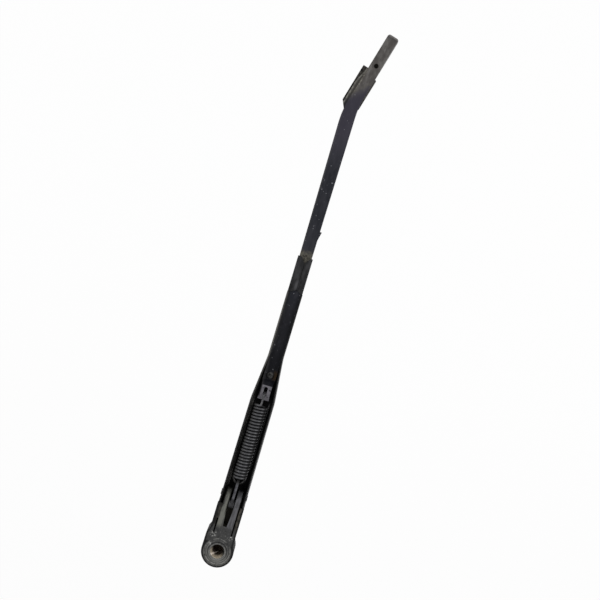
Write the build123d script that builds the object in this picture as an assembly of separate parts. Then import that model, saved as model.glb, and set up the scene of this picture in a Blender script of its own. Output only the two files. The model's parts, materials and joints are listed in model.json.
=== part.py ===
"""Car wiper arm, lying on its outer face with the glass side up.

The spindle axis is the Z axis, and the outer face of the head and channel lies on Z = 0.
X runs from the spindle to the tip, and Y to the left of the arm seen from the glass side.
All sizes are in millimetres and all angles in degrees.
"""

import math
import os

from build123d import *

# Clearances
RUN_GAP = 0.3
PIVOT_GAP = 0.05
SEAT_GAP = 0.02

# Spindle boss of the mounting head
BOSS_R = 13.4
HEAD_H = 18.5
NUT_RECESS_R = 10.0
NUT_RECESS_DEPTH = 8.0
STUD_R = 4.25
STUD_LAND = 3.5
TAPER_MOUTH_R = 6.1
COLLAR_W = 1.5
RING_W = 3.4
RING_DEPTH = 0.8
CAP_T = 2.0
CAP_GAP = 0.1

# Neck, ribs and fork of the mounting head
HEAD_W = 22.4
HEAD_EDGE = 1.5
HEAD_RIM = 1.0
NECK_BLEND_R = 9.0
EAR_X = 13.0
EAR_OUT = 2.0
EAR_RUN = 4.2
EAR_R = 3.0
FORK_W = 13.8
FORK_DROP = 0.3
FORK_NOSE_ANGLE = 40.0
SLOT_START = 21.5
SLOT_START_W = 3.3
SLOT_W = 5.6
GROOVE_START = 15.0
GROOVE_W = 1.2
GROOVE_DEPTH = 9.0
LEFT_GROOVE_L = 12.0

# Hinge between head and arm
HINGE_X = 45.0
HINGE_Z = 7.5
HINGE_R = 2.5
LIFT_ANGLE = 60.0
NOSE_OVER = 1.5
NECK_MARGIN = 0.7
BUSH_WALL = 0.95
RIVET_PROUD = 0.15

# Spring pin and link
PIN_R = 2.0
PIN_BACK = 5.0
PIN_COVER = 1.2
LINK_HUB_R = 3.6
LINK_HUB_W = 4.2
LINK_T = 2.0
LINK_REACH = 17.3
LINK_EYE_R = 2.1
LINK_END_R = 3.4

# Tension spring
WIRE_R = 0.95
COIL_R = 4.95
COIL_PITCH = 2.55
HOOK_RUN = 11.2
HOOK_BEND_R = 2.4
HOOK_TAIL = 4.6
WIRE_SIDES = 5
STEPS_PER_TURN = 7

# Folded channel
SHEET = 1.0
WALL_LEAN = 3.0
FOLD_R = 1.4
BAY_W = 21.2
RIM_LEVEL = 17.0
RIM_DIP = 7.0
RIM_BAY_Z = 16.2
RIM_THROAT_Z = 8.3
RIM_CLASP_Z = 6.6
RIM_BLEND_R = 160.0
BAY_LENGTH = 82.0
SHOULDER_LENGTH = 38.0
THROAT_LENGTH = 57.0
THROAT_GAP = 0.45
CLASP_LENGTH = 31.0
CLASP_GAP = 0.05
CLASP_EDGE_R = 0.9
SEAM_W = 0.3
SEAM_Y = -0.6
SEAM_V_LENGTH = 5.0
SEAM_V_W = 8.6
PLAN_BLEND_R = 45.0

# Flat strip, from the slotted tab to the tip
STRIP_T = 3.5
STRIP_W = 10.8
BEND_W = 12.6
BEND_ANGLE = 15.2
BEND_R = 70.0
BAR_W = 10.0
BAR_LENGTH = 68.2
BAR_CORNER_R = 2.0
STRIP_FREE_LENGTH = 130.4
BLADE_HOLE_R = 2.0
BLADE_HOLE_BACK = 27.5
BOW_R = 2500.0
BOW_LEAD = 3.0
LUG_GAP = 16.5
LUG_LENGTH = 7.5
LUG_OUT = 1.7
TAB_REACH = 84.0
TAB_LENGTH = 12.0
TAB_W = 9.0
TAB_END_W = 9.8
TAB_Z = 9.5
TAB_BAR = 4.4
TAB_SLOT_L = 6.5
TAB_SLOT_W = 3.0
JOGGLE_RUN = 4.5
JOGGLE_R = 1.2

# Rivet through strip and channel
STRIP_RIVET_GAP = 0.9
STRIP_RIVET_R = 2.0
STRIP_RIVET_HEAD_R = 2.9
STRIP_RIVET_HEAD_T = 1.3
DIMPLE_R = 1.4
DIMPLE_DEPTH = 1.0

# Stop plate behind the bar, measured back from the bar's end
PLATE_T = 1.0
PLATE_START = 31.0
PLATE_LEFT = 9.9
PLATE_RIGHT = 6.3
PLATE_LENGTH = 39.0
PLATE_TAPER = 6.0

# Places along the arm that follow from the sizes above
FORK_TOP = HEAD_H - FORK_DROP
PIN_X = HINGE_X - PIN_BACK
PIN_Z = FORK_TOP - PIN_COVER - PIN_R
EYE_R = HINGE_Z - SHEET - RUN_GAP
NOSE_R = HINGE_Z + NOSE_OVER
SHOULDER_R = NOSE_R + RUN_GAP
CHANNEL_START = HINGE_X - math.sqrt(NOSE_R**2 - HINGE_Z**2)
HEAD_END = HINGE_X - math.sqrt(SHOULDER_R**2 - HINGE_Z**2)
BAY_END = HINGE_X + BAY_LENGTH
THROAT_START = BAY_END + SHOULDER_LENGTH
CLASP_START = THROAT_START + THROAT_LENGTH
CLASP_END = CLASP_START + CLASP_LENGTH
THROAT_W = STRIP_W + 2 * (SHEET + THROAT_GAP)
CLASP_W = STRIP_W + 2 * (SHEET + CLASP_GAP)
CLASP_H = STRIP_T + 2 * SHEET
BEND_X = CLASP_END + STRIP_FREE_LENGTH
TAB_X = HINGE_X + TAB_REACH
RIVET_X = TAB_X + TAB_LENGTH + JOGGLE_RUN + STRIP_RIVET_GAP + STRIP_RIVET_HEAD_R
HOOK_X = TAB_X + TAB_BAR + WIRE_R + RUN_GAP / 2
PIN_TO_HOOK = Vector(HOOK_X - PIN_X, 0, TAB_Z - PIN_Z)
SPRING_LINE = PIN_TO_HOOK.normalized()
SPRING_UP = Vector(-SPRING_LINE.Z, 0, SPRING_LINE.X)
COIL_START = LINK_REACH + COIL_R
COIL_COUNT = round((PIN_TO_HOOK.length - HOOK_RUN - COIL_START) / COIL_PITCH)
COIL_END = COIL_START + COIL_COUNT * COIL_PITCH
BORE_FOOT_Z = NUT_RECESS_DEPTH + STUD_LAND
BIG = 2 * (BEND_X + BAR_LENGTH)


def wall_half(x):
    """Half of the channel's outer width at its base, over the spring."""
    share = (x - CHANNEL_START) / (BAY_END - CHANNEL_START)
    return HEAD_W / 2 + share * (BAY_W - HEAD_W) / 2


def wall_inner(x, z):
    """Distance of the leaning wall's inner face from the middle of the arm."""
    lean = math.radians(WALL_LEAN)
    return wall_half(x) - SHEET / math.cos(lean) - z * math.tan(lean)


def flat_face(edges):
    """A flat face inside closed edges, with its normal along +Z."""
    face = make_face(edges).face()
    return face if face.normal_at().Z > 0 else -face


def outline(*points):
    """A flat face with straight sides through the points."""
    return flat_face(Polyline(*points, close=True).edges())


def corner(face, x, y):
    """The corner of a flat face that lies nearest to a point."""
    return face.vertices().sort_by_distance((x, y, 0))[0]


def carry_across(side_face, width):
    """Carry a face drawn in side view (X, Z) across the arm, half of the width each way."""
    return extrude(Plane.XZ * side_face, amount=width / 2, both=True)


def cross_bar(radius, x, z, y_from, y_to):
    """A round bar that lies across the arm."""
    plane = Plane(origin=(x, y_from, z), x_dir=(1, 0, 0), z_dir=(0, 1, 0))
    return extrude(plane * Circle(radius), amount=y_to - y_from)


def upright(radius, x, z_from, z_to):
    """A round bar that stands on the middle of the arm."""
    return Pos(x, 0, z_from) * extrude(Circle(radius), amount=z_to - z_from)


def mirrored(part):
    """The same piece on the other side of the arm."""
    return mirror(part, about=Plane.XZ)


def head_outline():
    """Plan of the casting: round boss, straight neck and the ear on the left shoulder."""
    half = HEAD_W / 2
    ear_end = EAR_X + EAR_RUN
    ear_y = half + EAR_OUT
    touch = math.atan2(ear_y, EAR_X) + math.acos(BOSS_R / math.hypot(EAR_X, ear_y))
    touch_point = (BOSS_R * math.cos(touch), BOSS_R * math.sin(touch))
    neck = Pos(HINGE_X / 2, 0) * Rectangle(HINGE_X, HEAD_W)
    ear = outline((0, 0), (ear_end, 0), (ear_end, half), (EAR_X, ear_y), touch_point)
    plan = Circle(BOSS_R) + neck + ear
    junction_x = math.sqrt(BOSS_R**2 - half**2)
    plan = fillet(corner(plan, junction_x, -half), NECK_BLEND_R)
    plan = fillet(corner(plan, EAR_X, ear_y), EAR_R)
    return fillet(corner(plan, ear_end, half), EAR_R)


def boss_bore():
    """Everything cut round the spindle axis: nut recess, stud hole, taper and face ring."""
    taper_profile = outline(
        (0, BORE_FOOT_Z), (STUD_R, BORE_FOOT_Z), (TAPER_MOUTH_R, HEAD_H), (0, HEAD_H)
    )
    taper = revolve(Plane.XZ * taper_profile, axis=Axis.Z)
    collar_r = TAPER_MOUTH_R + COLLAR_W
    ring = Circle(collar_r + RING_W) - Circle(collar_r)
    recess = upright(NUT_RECESS_R, 0, 0, NUT_RECESS_DEPTH)
    stud_hole = upright(STUD_R, 0, NUT_RECESS_DEPTH, BORE_FOOT_Z)
    face_ring = Pos(0, 0, HEAD_H - RING_DEPTH) * extrude(ring, amount=RING_DEPTH)
    return recess + stud_hole + taper + face_ring


def fork_cheek():
    """Side view of one cheek: the hinge eye, and the neck that carries it above the web's path."""
    nose = math.radians(FORK_NOSE_ANGLE)
    nose_x = EYE_R * math.cos(nose)
    nose_z = EYE_R * math.sin(nose)
    top_x = nose_x - (FORK_TOP - HINGE_Z - nose_z) * math.tan(nose)
    lift = math.radians(LIFT_ANGLE)
    web_depth = HINGE_Z - SHEET
    web_back = math.sqrt(NOSE_R**2 - web_depth**2)
    web_rise = web_back * math.sin(lift) - web_depth * math.cos(lift)
    neck_z = HINGE_Z + web_rise + NECK_MARGIN
    neck_x = HINGE_X - SHOULDER_R - NOSE_OVER
    neck = outline(
        (neck_x, neck_z),
        (HINGE_X, neck_z),
        (HINGE_X + nose_x, HINGE_Z + nose_z),
        (HINGE_X + top_x, FORK_TOP),
        (neck_x, FORK_TOP),
    )
    return Pos(HINGE_X, HINGE_Z) * Circle(EYE_R) + neck


def bush_outer_r():
    """Outside radius of a hinge bush's sleeve."""
    return HINGE_R + PIVOT_GAP + BUSH_WALL


def mounting_head():
    """The casting: boss, neck with ribs and grooves, and the fork that enters the channel."""
    body = extrude(head_outline(), amount=HEAD_H)
    body = chamfer(body.edges().group_by(Axis.Z)[0], HEAD_EDGE)
    body = chamfer(body.edges().group_by(Axis.Z)[-1], HEAD_RIM)
    beyond = Pos((HEAD_END + HINGE_X) / 2, HEAD_H / 2) * Rectangle(HINGE_X - HEAD_END, 2 * HEAD_H)
    swing_space = Pos(HINGE_X, HINGE_Z) * Circle(SHOULDER_R) + beyond
    body -= carry_across(swing_space, 2 * HEAD_W)
    body += carry_across(fork_cheek(), FORK_W)
    body -= carry_across(swing_space, SLOT_W)

    groove_y = (FORK_W + GROOVE_W) / 2
    right_length = HEAD_END - GROOVE_START
    for length, y in ((LEFT_GROOVE_L, groove_y), (right_length, -groove_y)):
        plan = Pos(GROOVE_START + length / 2, y) * Rectangle(length, GROOVE_W)
        body -= Pos(0, 0, HEAD_H - GROOVE_DEPTH) * extrude(plan, amount=GROOVE_DEPTH)

    flare_end = HINGE_X - SHOULDER_R
    fork_end = HINGE_X + EYE_R + RUN_GAP
    slot = outline(
        (SLOT_START, SLOT_START_W / 2),
        (flare_end, SLOT_W / 2),
        (fork_end, SLOT_W / 2),
        (fork_end, -SLOT_W / 2),
        (flare_end, -SLOT_W / 2),
        (SLOT_START, -SLOT_START_W / 2),
    )
    slot_floor = PIN_Z - LINK_HUB_R - 2 * RUN_GAP
    body -= Pos(0, 0, slot_floor) * extrude(slot, amount=HEAD_H)

    body -= boss_bore()
    body -= cross_bar(bush_outer_r() + SEAT_GAP, HINGE_X, HINGE_Z, -FORK_W, FORK_W)
    return body - cross_bar(PIN_R + SEAT_GAP, PIN_X, PIN_Z, -FORK_W, FORK_W)


def nut_cap():
    """Flat cap pressed into the nut recess, flush with the head's outer face."""
    return upright(NUT_RECESS_R - CAP_GAP, 0, 0, CAP_T)


def hinge_bush():
    """Left bush: a sleeve through the cheek that spaces the channel's wall from the slot."""
    wall_y = wall_inner(HINGE_X, HINGE_Z + bush_outer_r()) - RUN_GAP
    sleeve = cross_bar(bush_outer_r(), HINGE_X, HINGE_Z, SLOT_W / 2, wall_y)
    return sleeve - cross_bar(HINGE_R + PIVOT_GAP, HINGE_X, HINGE_Z, 0, FORK_W)


def hinge_rivet():
    """Left stub rivet: closed in the channel's wall, and turning in the bush up to the slot."""
    wall_y = wall_half(HINGE_X) + RIVET_PROUD
    return cross_bar(HINGE_R, HINGE_X, HINGE_Z, SLOT_W / 2, wall_y)


def spring_pin():
    """Cross pin in the fork, flush with the cheeks."""
    return cross_bar(PIN_R, PIN_X, PIN_Z, -FORK_W / 2, FORK_W / 2)


def along_spring(distance, side=0.0, up=0.0):
    """A point at a distance from the pin along the spring's line, set off sideways and upwards."""
    line_point = Vector(PIN_X, 0, PIN_Z) + SPRING_LINE * distance
    return line_point + Vector(0, side, 0) + SPRING_UP * up


def spring_link():
    """Link from the pin to the spring: thick hub, flat plate and an eye for the spring's loop."""
    eye_shift = LINK_EYE_R - WIRE_R - 2 * RUN_GAP
    eye = along_spring(LINK_REACH - eye_shift)
    hub = Pos(PIN_X, PIN_Z) * Circle(LINK_HUB_R)
    end = Pos(eye.X, eye.Z) * Circle(LINK_END_R)
    plate = carry_across(make_hull((hub + end).edges()), LINK_T)
    plate += cross_bar(LINK_HUB_R, PIN_X, PIN_Z, -LINK_HUB_W / 2, LINK_HUB_W / 2)
    plate -= cross_bar(PIN_R + PIVOT_GAP, PIN_X, PIN_Z, -LINK_HUB_W, LINK_HUB_W)
    return plate - cross_bar(LINK_EYE_R, eye.X, eye.Z, -LINK_HUB_W, LINK_HUB_W)


def spring_path():
    """Points along the spring's wire: half loop in the link's eye, coils, then the long hook."""
    turn = 2 * math.pi / STEPS_PER_TURN
    loop_steps = STEPS_PER_TURN // 2
    points = []
    for step in range(loop_steps):
        angle = math.pi - step * turn
        across = COIL_R * math.cos(angle)
        points.append(along_spring(COIL_START - COIL_R * math.sin(angle), across))
    for step in range(COIL_COUNT * STEPS_PER_TURN + 1):
        angle = step * turn
        distance = COIL_START + COIL_PITCH * step / STEPS_PER_TURN
        points.append(along_spring(distance, COIL_R * math.cos(angle), COIL_R * math.sin(angle)))
    rise_steps = STEPS_PER_TURN // 3
    for step in range(1, rise_steps + 1):
        share = step / rise_steps
        side = COIL_R * (1 - share**2 * (3 - 2 * share))
        up = COIL_R * math.sin(share * math.pi / 2)
        points.append(along_spring(COIL_END + COIL_R * share**2, side, up))
    bend_centre = Vector(HOOK_X - HOOK_BEND_R, 0, TAB_Z + STRIP_T / 2)
    for step in range(loop_steps):
        angle = math.pi / 2 * (1 - step / (loop_steps - 1))
        reach = Vector(math.cos(angle), 0, math.sin(angle)) * HOOK_BEND_R
        points.append(bend_centre + reach)
    points.append(Vector(HOOK_X, 0, bend_centre.Z - HOOK_TAIL))
    return points


def tension_spring():
    """The spring: a many-sided wire section swept along its path."""
    points = spring_path()
    start = Plane(origin=points[0], z_dir=points[1] - points[0])
    section = start * RegularPolygon(WIRE_R, WIRE_SIDES)
    return sweep(section, path=Polyline(*points), transition=Transition.RIGHT)


def channel_plan(inset):
    """Plan of the channel's web: neck, spring bay, shoulders and throat, drawn in by an inset."""
    back = CHANNEL_START - HEAD_H
    front = CLASP_START + HEAD_H
    half_widths = [
        (back, wall_half(back) - inset),
        (BAY_END, BAY_W / 2 - inset),
        (THROAT_START, THROAT_W / 2 - inset),
        (front, THROAT_W / 2 - inset),
    ]
    right = FilletPolyline(*[(x, -half) for x, half in half_widths], radius=PLAN_BLEND_R)
    left = FilletPolyline(*reversed(half_widths), radius=PLAN_BLEND_R)
    ends = [Line(right @ 1, left @ 0), Line(left @ 1, right @ 0)]
    return make_face([*right.edges(), ends[0], *left.edges(), ends[1]])


def channel_block():
    """The channel's outer form, folded up into leaning walls and not yet hollow."""
    block = extrude(channel_plan(0), amount=HEAD_H, taper=WALL_LEAN)
    fold_lines = block.edges().group_by(Axis.Z)[0].filter_by(Axis.Y, reverse=True)
    return fillet(fold_lines, FOLD_R)


def channel_side():
    """Side view of the channel: round nose at the hinge and the rim that falls to the clasp."""
    top = (CHANNEL_START, HEAD_H)
    rim = FilletPolyline(
        top,
        (HINGE_X + RIM_LEVEL, HEAD_H),
        (BAY_END - RIM_DIP, RIM_BAY_Z),
        (THROAT_START + RIM_DIP, RIM_THROAT_Z),
        (CLASP_START, RIM_CLASP_Z),
        radius=RIM_BLEND_R,
    )
    nose_top = (CHANNEL_START, 2 * HINGE_Z)
    foot = (CHANNEL_START, 0)
    nose = ThreePointArc(foot, (HINGE_X - NOSE_R, HINGE_Z), nose_top)
    end = Polyline((CLASP_START, RIM_CLASP_Z), (CLASP_START, 0), foot)
    return flat_face([nose, Line(nose_top, top), *rim.edges(), *end.edges()])


def clasp():
    """Folded end of the channel: a flat tube round the strip, with a seam that opens in a V."""
    section = Pos(0, CLASP_H / 2) * RectangleRounded(CLASP_W, CLASP_H, CLASP_EDGE_R)
    section -= Pos(0, CLASP_H / 2) * Rectangle(STRIP_W + 2 * CLASP_GAP, STRIP_T)
    tube = Pos(CLASP_START, 0, 0) * extrude(Plane.YZ * section, amount=CLASP_LENGTH)
    half = SEAM_W / 2
    mouth = SEAM_V_W / 2
    seam = outline(
        (CLASP_START, SEAM_Y - mouth),
        (CLASP_START + SEAM_V_LENGTH / 2, SEAM_Y - half),
        (CLASP_END - SEAM_V_LENGTH, SEAM_Y - half),
        (CLASP_END, SEAM_Y - mouth),
        (CLASP_END, SEAM_Y + mouth),
        (CLASP_END - SEAM_V_LENGTH, SEAM_Y + half),
        (CLASP_START + SEAM_V_LENGTH / 2, SEAM_Y + half),
        (CLASP_START, SEAM_Y + mouth),
    )
    return tube - Pos(0, 0, SHEET + STRIP_T) * extrude(seam, amount=CLASP_H)


def arm_channel():
    """One folded sheet: leaning walls over the spring, throat and clasp."""
    lean = math.radians(WALL_LEAN)
    inset = SHEET / math.cos(lean) + SHEET * math.tan(lean)
    hollow = extrude(channel_plan(inset), amount=HEAD_H, taper=WALL_LEAN)
    shell = channel_block() - Pos(0, 0, SHEET) * hollow
    shell = shell & carry_across(channel_side(), 2 * HEAD_W)
    shell += clasp()
    shell -= upright(STRIP_RIVET_R + SEAT_GAP, RIVET_X, 0, SHEET)
    return shell - cross_bar(HINGE_R + SEAT_GAP, HINGE_X, HINGE_Z, -HEAD_W, HEAD_W)


def bar_point(back, side):
    """A plan point on the bar, measured back from its end and to its left."""
    turn = math.radians(BEND_ANGLE)
    ahead = BAR_LENGTH - back
    x = BEND_X + ahead * math.cos(turn) + side * math.sin(turn)
    return (x, side * math.cos(turn) - ahead * math.sin(turn))


def bend_corner(side):
    """Where the strip's edge line and the bar's edge line cross, on the left (1) or right (-1)."""
    turn = math.radians(BEND_ANGLE)
    ahead = side * (BAR_W * math.cos(turn) - BEND_W) / 2 / math.sin(turn)
    return bar_point(BAR_LENGTH - ahead, side * BAR_W / 2)


def strip_plan():
    """Plan of the strip: tab, straight run with its lug, bend and bar."""
    half = STRIP_W / 2
    tab_front = TAB_X + TAB_LENGTH
    body_start = tab_front + JOGGLE_RUN
    lug_start = CLASP_END + LUG_GAP
    lug_end = lug_start + LUG_LENGTH
    plan = outline(
        (TAB_X, TAB_END_W / 2),
        (TAB_X + TAB_BAR, TAB_W / 2),
        (tab_front, TAB_W / 2),
        (body_start, half),
        (CLASP_END, half),
        bend_corner(1),
        bar_point(0, BAR_W / 2),
        bar_point(0, -BAR_W / 2),
        bend_corner(-1),
        (CLASP_END, -half),
        (body_start, -half),
        (tab_front, -TAB_W / 2),
        (TAB_X + TAB_BAR, -TAB_W / 2),
        (TAB_X, -TAB_END_W / 2),
    )
    for side in (1, -1):
        plan = fillet(corner(plan, *bend_corner(side)), BEND_R)
        plan = fillet(corner(plan, *bar_point(0, side * BAR_W / 2)), BAR_CORNER_R)
    lug_root = -half + LUG_OUT
    lug_tip = -half - LUG_OUT
    lug = outline(
        (lug_start, -half), (lug_end, lug_tip), (lug_end, lug_root), (lug_start, lug_root)
    )
    return plan + lug


def bow_point(z, share):
    """A side-view point on the bowed run that stands at height z where the bow starts."""
    start = CLASP_END + BOW_LEAD
    swing = share * (BEND_X + BAR_LENGTH - start) / BOW_R
    radius = BOW_R + SHEET - z
    return (start + radius * math.sin(swing), z + radius * (1 - math.cos(swing)))


def bow_arc(z, share_from, share_to):
    """Arc of the bowed run at height z, between two shares of its length."""
    middle = (share_from + share_to) / 2
    return ThreePointArc(bow_point(z, share_from), bow_point(z, middle), bow_point(z, share_to))


def strip_side():
    """Side view of the strip: raised tab, joggle, straight run and the bow towards the glass."""
    low = SHEET
    high = SHEET + STRIP_T
    tab_low = TAB_Z - STRIP_T / 2
    tab_high = TAB_Z + STRIP_T / 2
    slope = math.atan2(tab_low - low, JOGGLE_RUN)
    shift = STRIP_T * math.tan(slope / 2)
    joggle_x = TAB_X + TAB_LENGTH
    joggle_end = joggle_x + JOGGLE_RUN
    under = FilletPolyline(
        (TAB_X, tab_low),
        (joggle_x - shift, tab_low),
        (joggle_end - shift, low),
        bow_point(low, 0),
        radius=JOGGLE_R,
    )
    over = FilletPolyline(
        (TAB_X, tab_high),
        (joggle_x, tab_high),
        (joggle_end, high),
        bow_point(high, 0),
        radius=JOGGLE_R,
    )
    tip = Line(bow_point(low, 1), bow_point(high, 1))
    back = Line((TAB_X, tab_low), (TAB_X, tab_high))
    arcs = [bow_arc(low, 0, 1), bow_arc(high, 0, 1)]
    return flat_face([*under.edges(), *over.edges(), *arcs, tip, back])


def bow_frame(x, y):
    """A plane on the strip's outer face at a plan point, square to the bowed strip."""
    swing = math.asin((x - CLASP_END - BOW_LEAD) / BOW_R)
    z = SHEET + BOW_R * (1 - math.cos(swing))
    return Plane(origin=(x, y, z), x_dir=(math.cos(swing), 0, math.sin(swing)),
                 z_dir=(-math.sin(swing), 0, math.cos(swing)))


def arm_strip():
    """The strip: its plan and its side view carried through each other, then pierced."""
    strip = extrude(strip_plan(), amount=BIG) & carry_across(strip_side(), BIG)
    slot = Pos(TAB_X + TAB_BAR + TAB_SLOT_L / 2, 0) * SlotOverall(TAB_SLOT_L, TAB_SLOT_W)
    strip -= extrude(slot, amount=BIG)
    strip -= upright(STRIP_RIVET_R + SEAT_GAP, RIVET_X, 0, BIG)
    hole_plane = bow_frame(*bar_point(BLADE_HOLE_BACK, 0))
    return strip - extrude(hole_plane * Circle(BLADE_HOLE_R), amount=2 * STRIP_T, both=True)


def strip_rivet():
    """Rivet with a dimpled head, its shank flush with the channel's outer face."""
    top = SHEET + STRIP_T
    rivet = upright(STRIP_RIVET_R, RIVET_X, 0, top)
    rivet += upright(STRIP_RIVET_HEAD_R, RIVET_X, top, top + STRIP_RIVET_HEAD_T)
    head_top = top + STRIP_RIVET_HEAD_T
    return rivet - upright(DIMPLE_R, RIVET_X, head_top - DIMPLE_DEPTH, head_top)


def stop_plate():
    """Thin plate on the strip's outer face, wider than the bar and bowed with it."""
    end = PLATE_START + PLATE_LENGTH
    plan = outline(
        bar_point(PLATE_START, PLATE_LEFT),
        bar_point(PLATE_START, BAR_W / 4),
        bar_point(PLATE_START + PLATE_TAPER, -PLATE_RIGHT),
        bar_point(end - PLATE_TAPER, -PLATE_RIGHT),
        bar_point(end, -BAR_W / 4),
        bar_point(end, BAR_W / 2),
        bar_point(end - PLATE_TAPER, PLATE_LEFT),
    )
    outer = SHEET - PLATE_T
    ends = [Line(bow_point(outer, share), bow_point(SHEET, share)) for share in (0, 1)]
    band = flat_face([bow_arc(outer, 0, 1), bow_arc(SHEET, 0, 1), *ends])
    return extrude(plan, amount=BIG) & carry_across(band, BIG)


def main():
    """Build every piece and write each to its own file."""
    bush = hinge_bush()
    rivet = hinge_rivet()
    pieces = {
        "mounting_head": mounting_head(),
        "nut_cap": nut_cap(),
        "hinge_bush_left": bush,
        "hinge_bush_right": mirrored(bush),
        "spring_pin": spring_pin(),
        "spring_link": spring_link(),
        "tension_spring": tension_spring(),
        "arm_channel": arm_channel(),
        "hinge_rivet_left": rivet,
        "hinge_rivet_right": mirrored(rivet),
        "arm_strip": arm_strip(),
        "strip_rivet": strip_rivet(),
        "stop_plate": stop_plate(),
    }
    os.makedirs("parts", exist_ok=True)
    for name, piece in pieces.items():
        export_step(piece, f"parts/{name}.step")


main()
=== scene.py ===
"""Dressed model of a used wiper arm that lies on its outer face, seen from straight above.

All sizes are in metres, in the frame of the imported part: the spindle axis is the Z axis, X runs from
the spindle to the tip, Y to the left, and Z = 0 is the outer face, so the glass side looks up.
"""

import json
import logging
import math
from dataclasses import dataclass, field
from enum import Enum
from typing import Any, Optional, Union

import bmesh
import bpy
import numpy as np
from numpy.typing import NDArray
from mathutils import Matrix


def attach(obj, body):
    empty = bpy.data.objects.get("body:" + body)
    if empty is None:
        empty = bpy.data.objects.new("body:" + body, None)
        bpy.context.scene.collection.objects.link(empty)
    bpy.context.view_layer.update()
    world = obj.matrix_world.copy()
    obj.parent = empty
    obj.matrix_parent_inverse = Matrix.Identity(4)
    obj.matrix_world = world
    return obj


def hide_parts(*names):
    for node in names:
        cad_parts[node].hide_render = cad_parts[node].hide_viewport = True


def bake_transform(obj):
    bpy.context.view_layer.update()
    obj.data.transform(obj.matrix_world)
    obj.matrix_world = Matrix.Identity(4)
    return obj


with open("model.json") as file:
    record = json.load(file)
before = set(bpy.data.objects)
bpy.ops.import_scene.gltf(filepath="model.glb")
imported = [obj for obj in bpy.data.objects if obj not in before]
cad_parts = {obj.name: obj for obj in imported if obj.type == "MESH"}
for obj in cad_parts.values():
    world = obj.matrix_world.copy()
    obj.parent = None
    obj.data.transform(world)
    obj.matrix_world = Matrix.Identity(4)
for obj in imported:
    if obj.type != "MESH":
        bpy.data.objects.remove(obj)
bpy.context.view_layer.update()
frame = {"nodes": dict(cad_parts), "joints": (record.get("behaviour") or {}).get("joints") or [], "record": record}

Array = NDArray[np.float64]
Pair = tuple[float, float]
Triple = tuple[float, float, float]
Socket = bpy.types.NodeSocket
Input = Union[Socket, float, Triple]

LOG = logging.getLogger("wiper_arm")

# Rounding of paths, in standard deviations, and the ends of tubes
WINDOW_REACH = 3.0
END_RINGS = 4
END_BULGE = 0.4

# Noise that frays borders, the middle of a spot, and where most of a noise lies
FRAY_DETAIL = 4.0
FRAY_ROUGH = 0.6
SPOT_CORE = 0.3
GRAIN_SPAN: Pair = (0.3, 0.7)
CLOUD_SPAN: Pair = (0.36, 0.64)

# Colour sockets of a Mix node
MIX_FIRST = 6
MIX_SECOND = 7
MIX_RESULT = 2

# Places that pieces and finishes share
HEAD_TOP = 0.0185
FORK_X = 0.0395
BAY_END = 0.129
TAB_END = 0.1415
RIVET_X = 0.1493
SHOULDER_X = 0.152
CLASP_START = 0.222
CLASP_END = 0.253
PLATE_X = 0.385
STRIP_TOP = 0.0045

# The bar past the bend: where its line leaves the X axis, its turn to the right and its size
BEND_X = 0.3834
BEND_TURN = math.radians(15.2)
BAR_HALF = 0.0050
BAR_END = 0.0682


class Body(Enum):
    """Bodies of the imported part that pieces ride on."""

    HEAD = "head"
    ARM = "arm"
    LINK = "link"
    SPRING = "spring"


class Along(Enum):
    """Axes of the frame, by their names in a vector."""

    LENGTH = "X"
    ACROSS = "Y"
    HEIGHT = "Z"


def named(kind: str, name: str) -> dict[str, Any]:
    """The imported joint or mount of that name."""
    rows = frame["joints"] if kind == "joints" else frame["record"][kind]
    return next(row for row in rows if row["name"] == name)


def unit(vectors: Array) -> Array:
    """Vectors divided by their lengths, along the last axis."""
    return vectors / np.linalg.norm(vectors, axis=-1, keepdims=True)


def smoothstep(share: Array) -> Array:
    """The curve 3 s^2 - 2 s^3 of a share s, held between 0 and 1."""
    held = np.clip(share, 0.0, 1.0)
    return held * held * (3.0 - 2.0 * held)


def weld(mesh: bpy.types.Mesh, distance: float = 1e-7) -> None:
    """Merge points that coincide and turn the faces outwards.

    Args:
        mesh: The mesh to mend.
        distance: Points closer than this become one.
    """
    work = bmesh.new()
    work.from_mesh(mesh)
    bmesh.ops.remove_doubles(work, verts=work.verts, dist=distance)
    bmesh.ops.recalc_face_normals(work, faces=work.faces)
    work.to_mesh(mesh)
    work.free()


def new_piece(name: str, points: Array, wrap_u: bool, wrap_v: bool) -> bpy.types.Object:
    """Make a mesh object from a grid of points, with one quad for each cell.

    Args:
        name: The piece's name.
        points: Grid of shape (rows, columns, 3).
        wrap_u: Whether the last row joins the first.
        wrap_v: Whether the last column joins the first.

    Returns:
        The object, welded at poles, with its faces outwards and smooth shading.
    """
    rows, columns = points.shape[:2]
    row = np.arange(rows if wrap_u else rows - 1)[:, None]
    column = np.arange(columns if wrap_v else columns - 1)[None, :]
    next_row = (row + 1) % rows
    next_column = (column + 1) % columns
    corners = [row * columns + column, next_row * columns + column,
               next_row * columns + next_column, row * columns + next_column]
    quads = np.stack(corners, axis=-1).reshape(-1, 4)
    mesh = bpy.data.meshes.new(name)
    mesh.from_pydata(points.reshape(-1, 3).tolist(), [], quads.tolist())
    weld(mesh)
    mesh.shade_smooth()
    piece = bpy.data.objects.new(name, mesh)
    bpy.context.scene.collection.objects.link(piece)
    return piece


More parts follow.
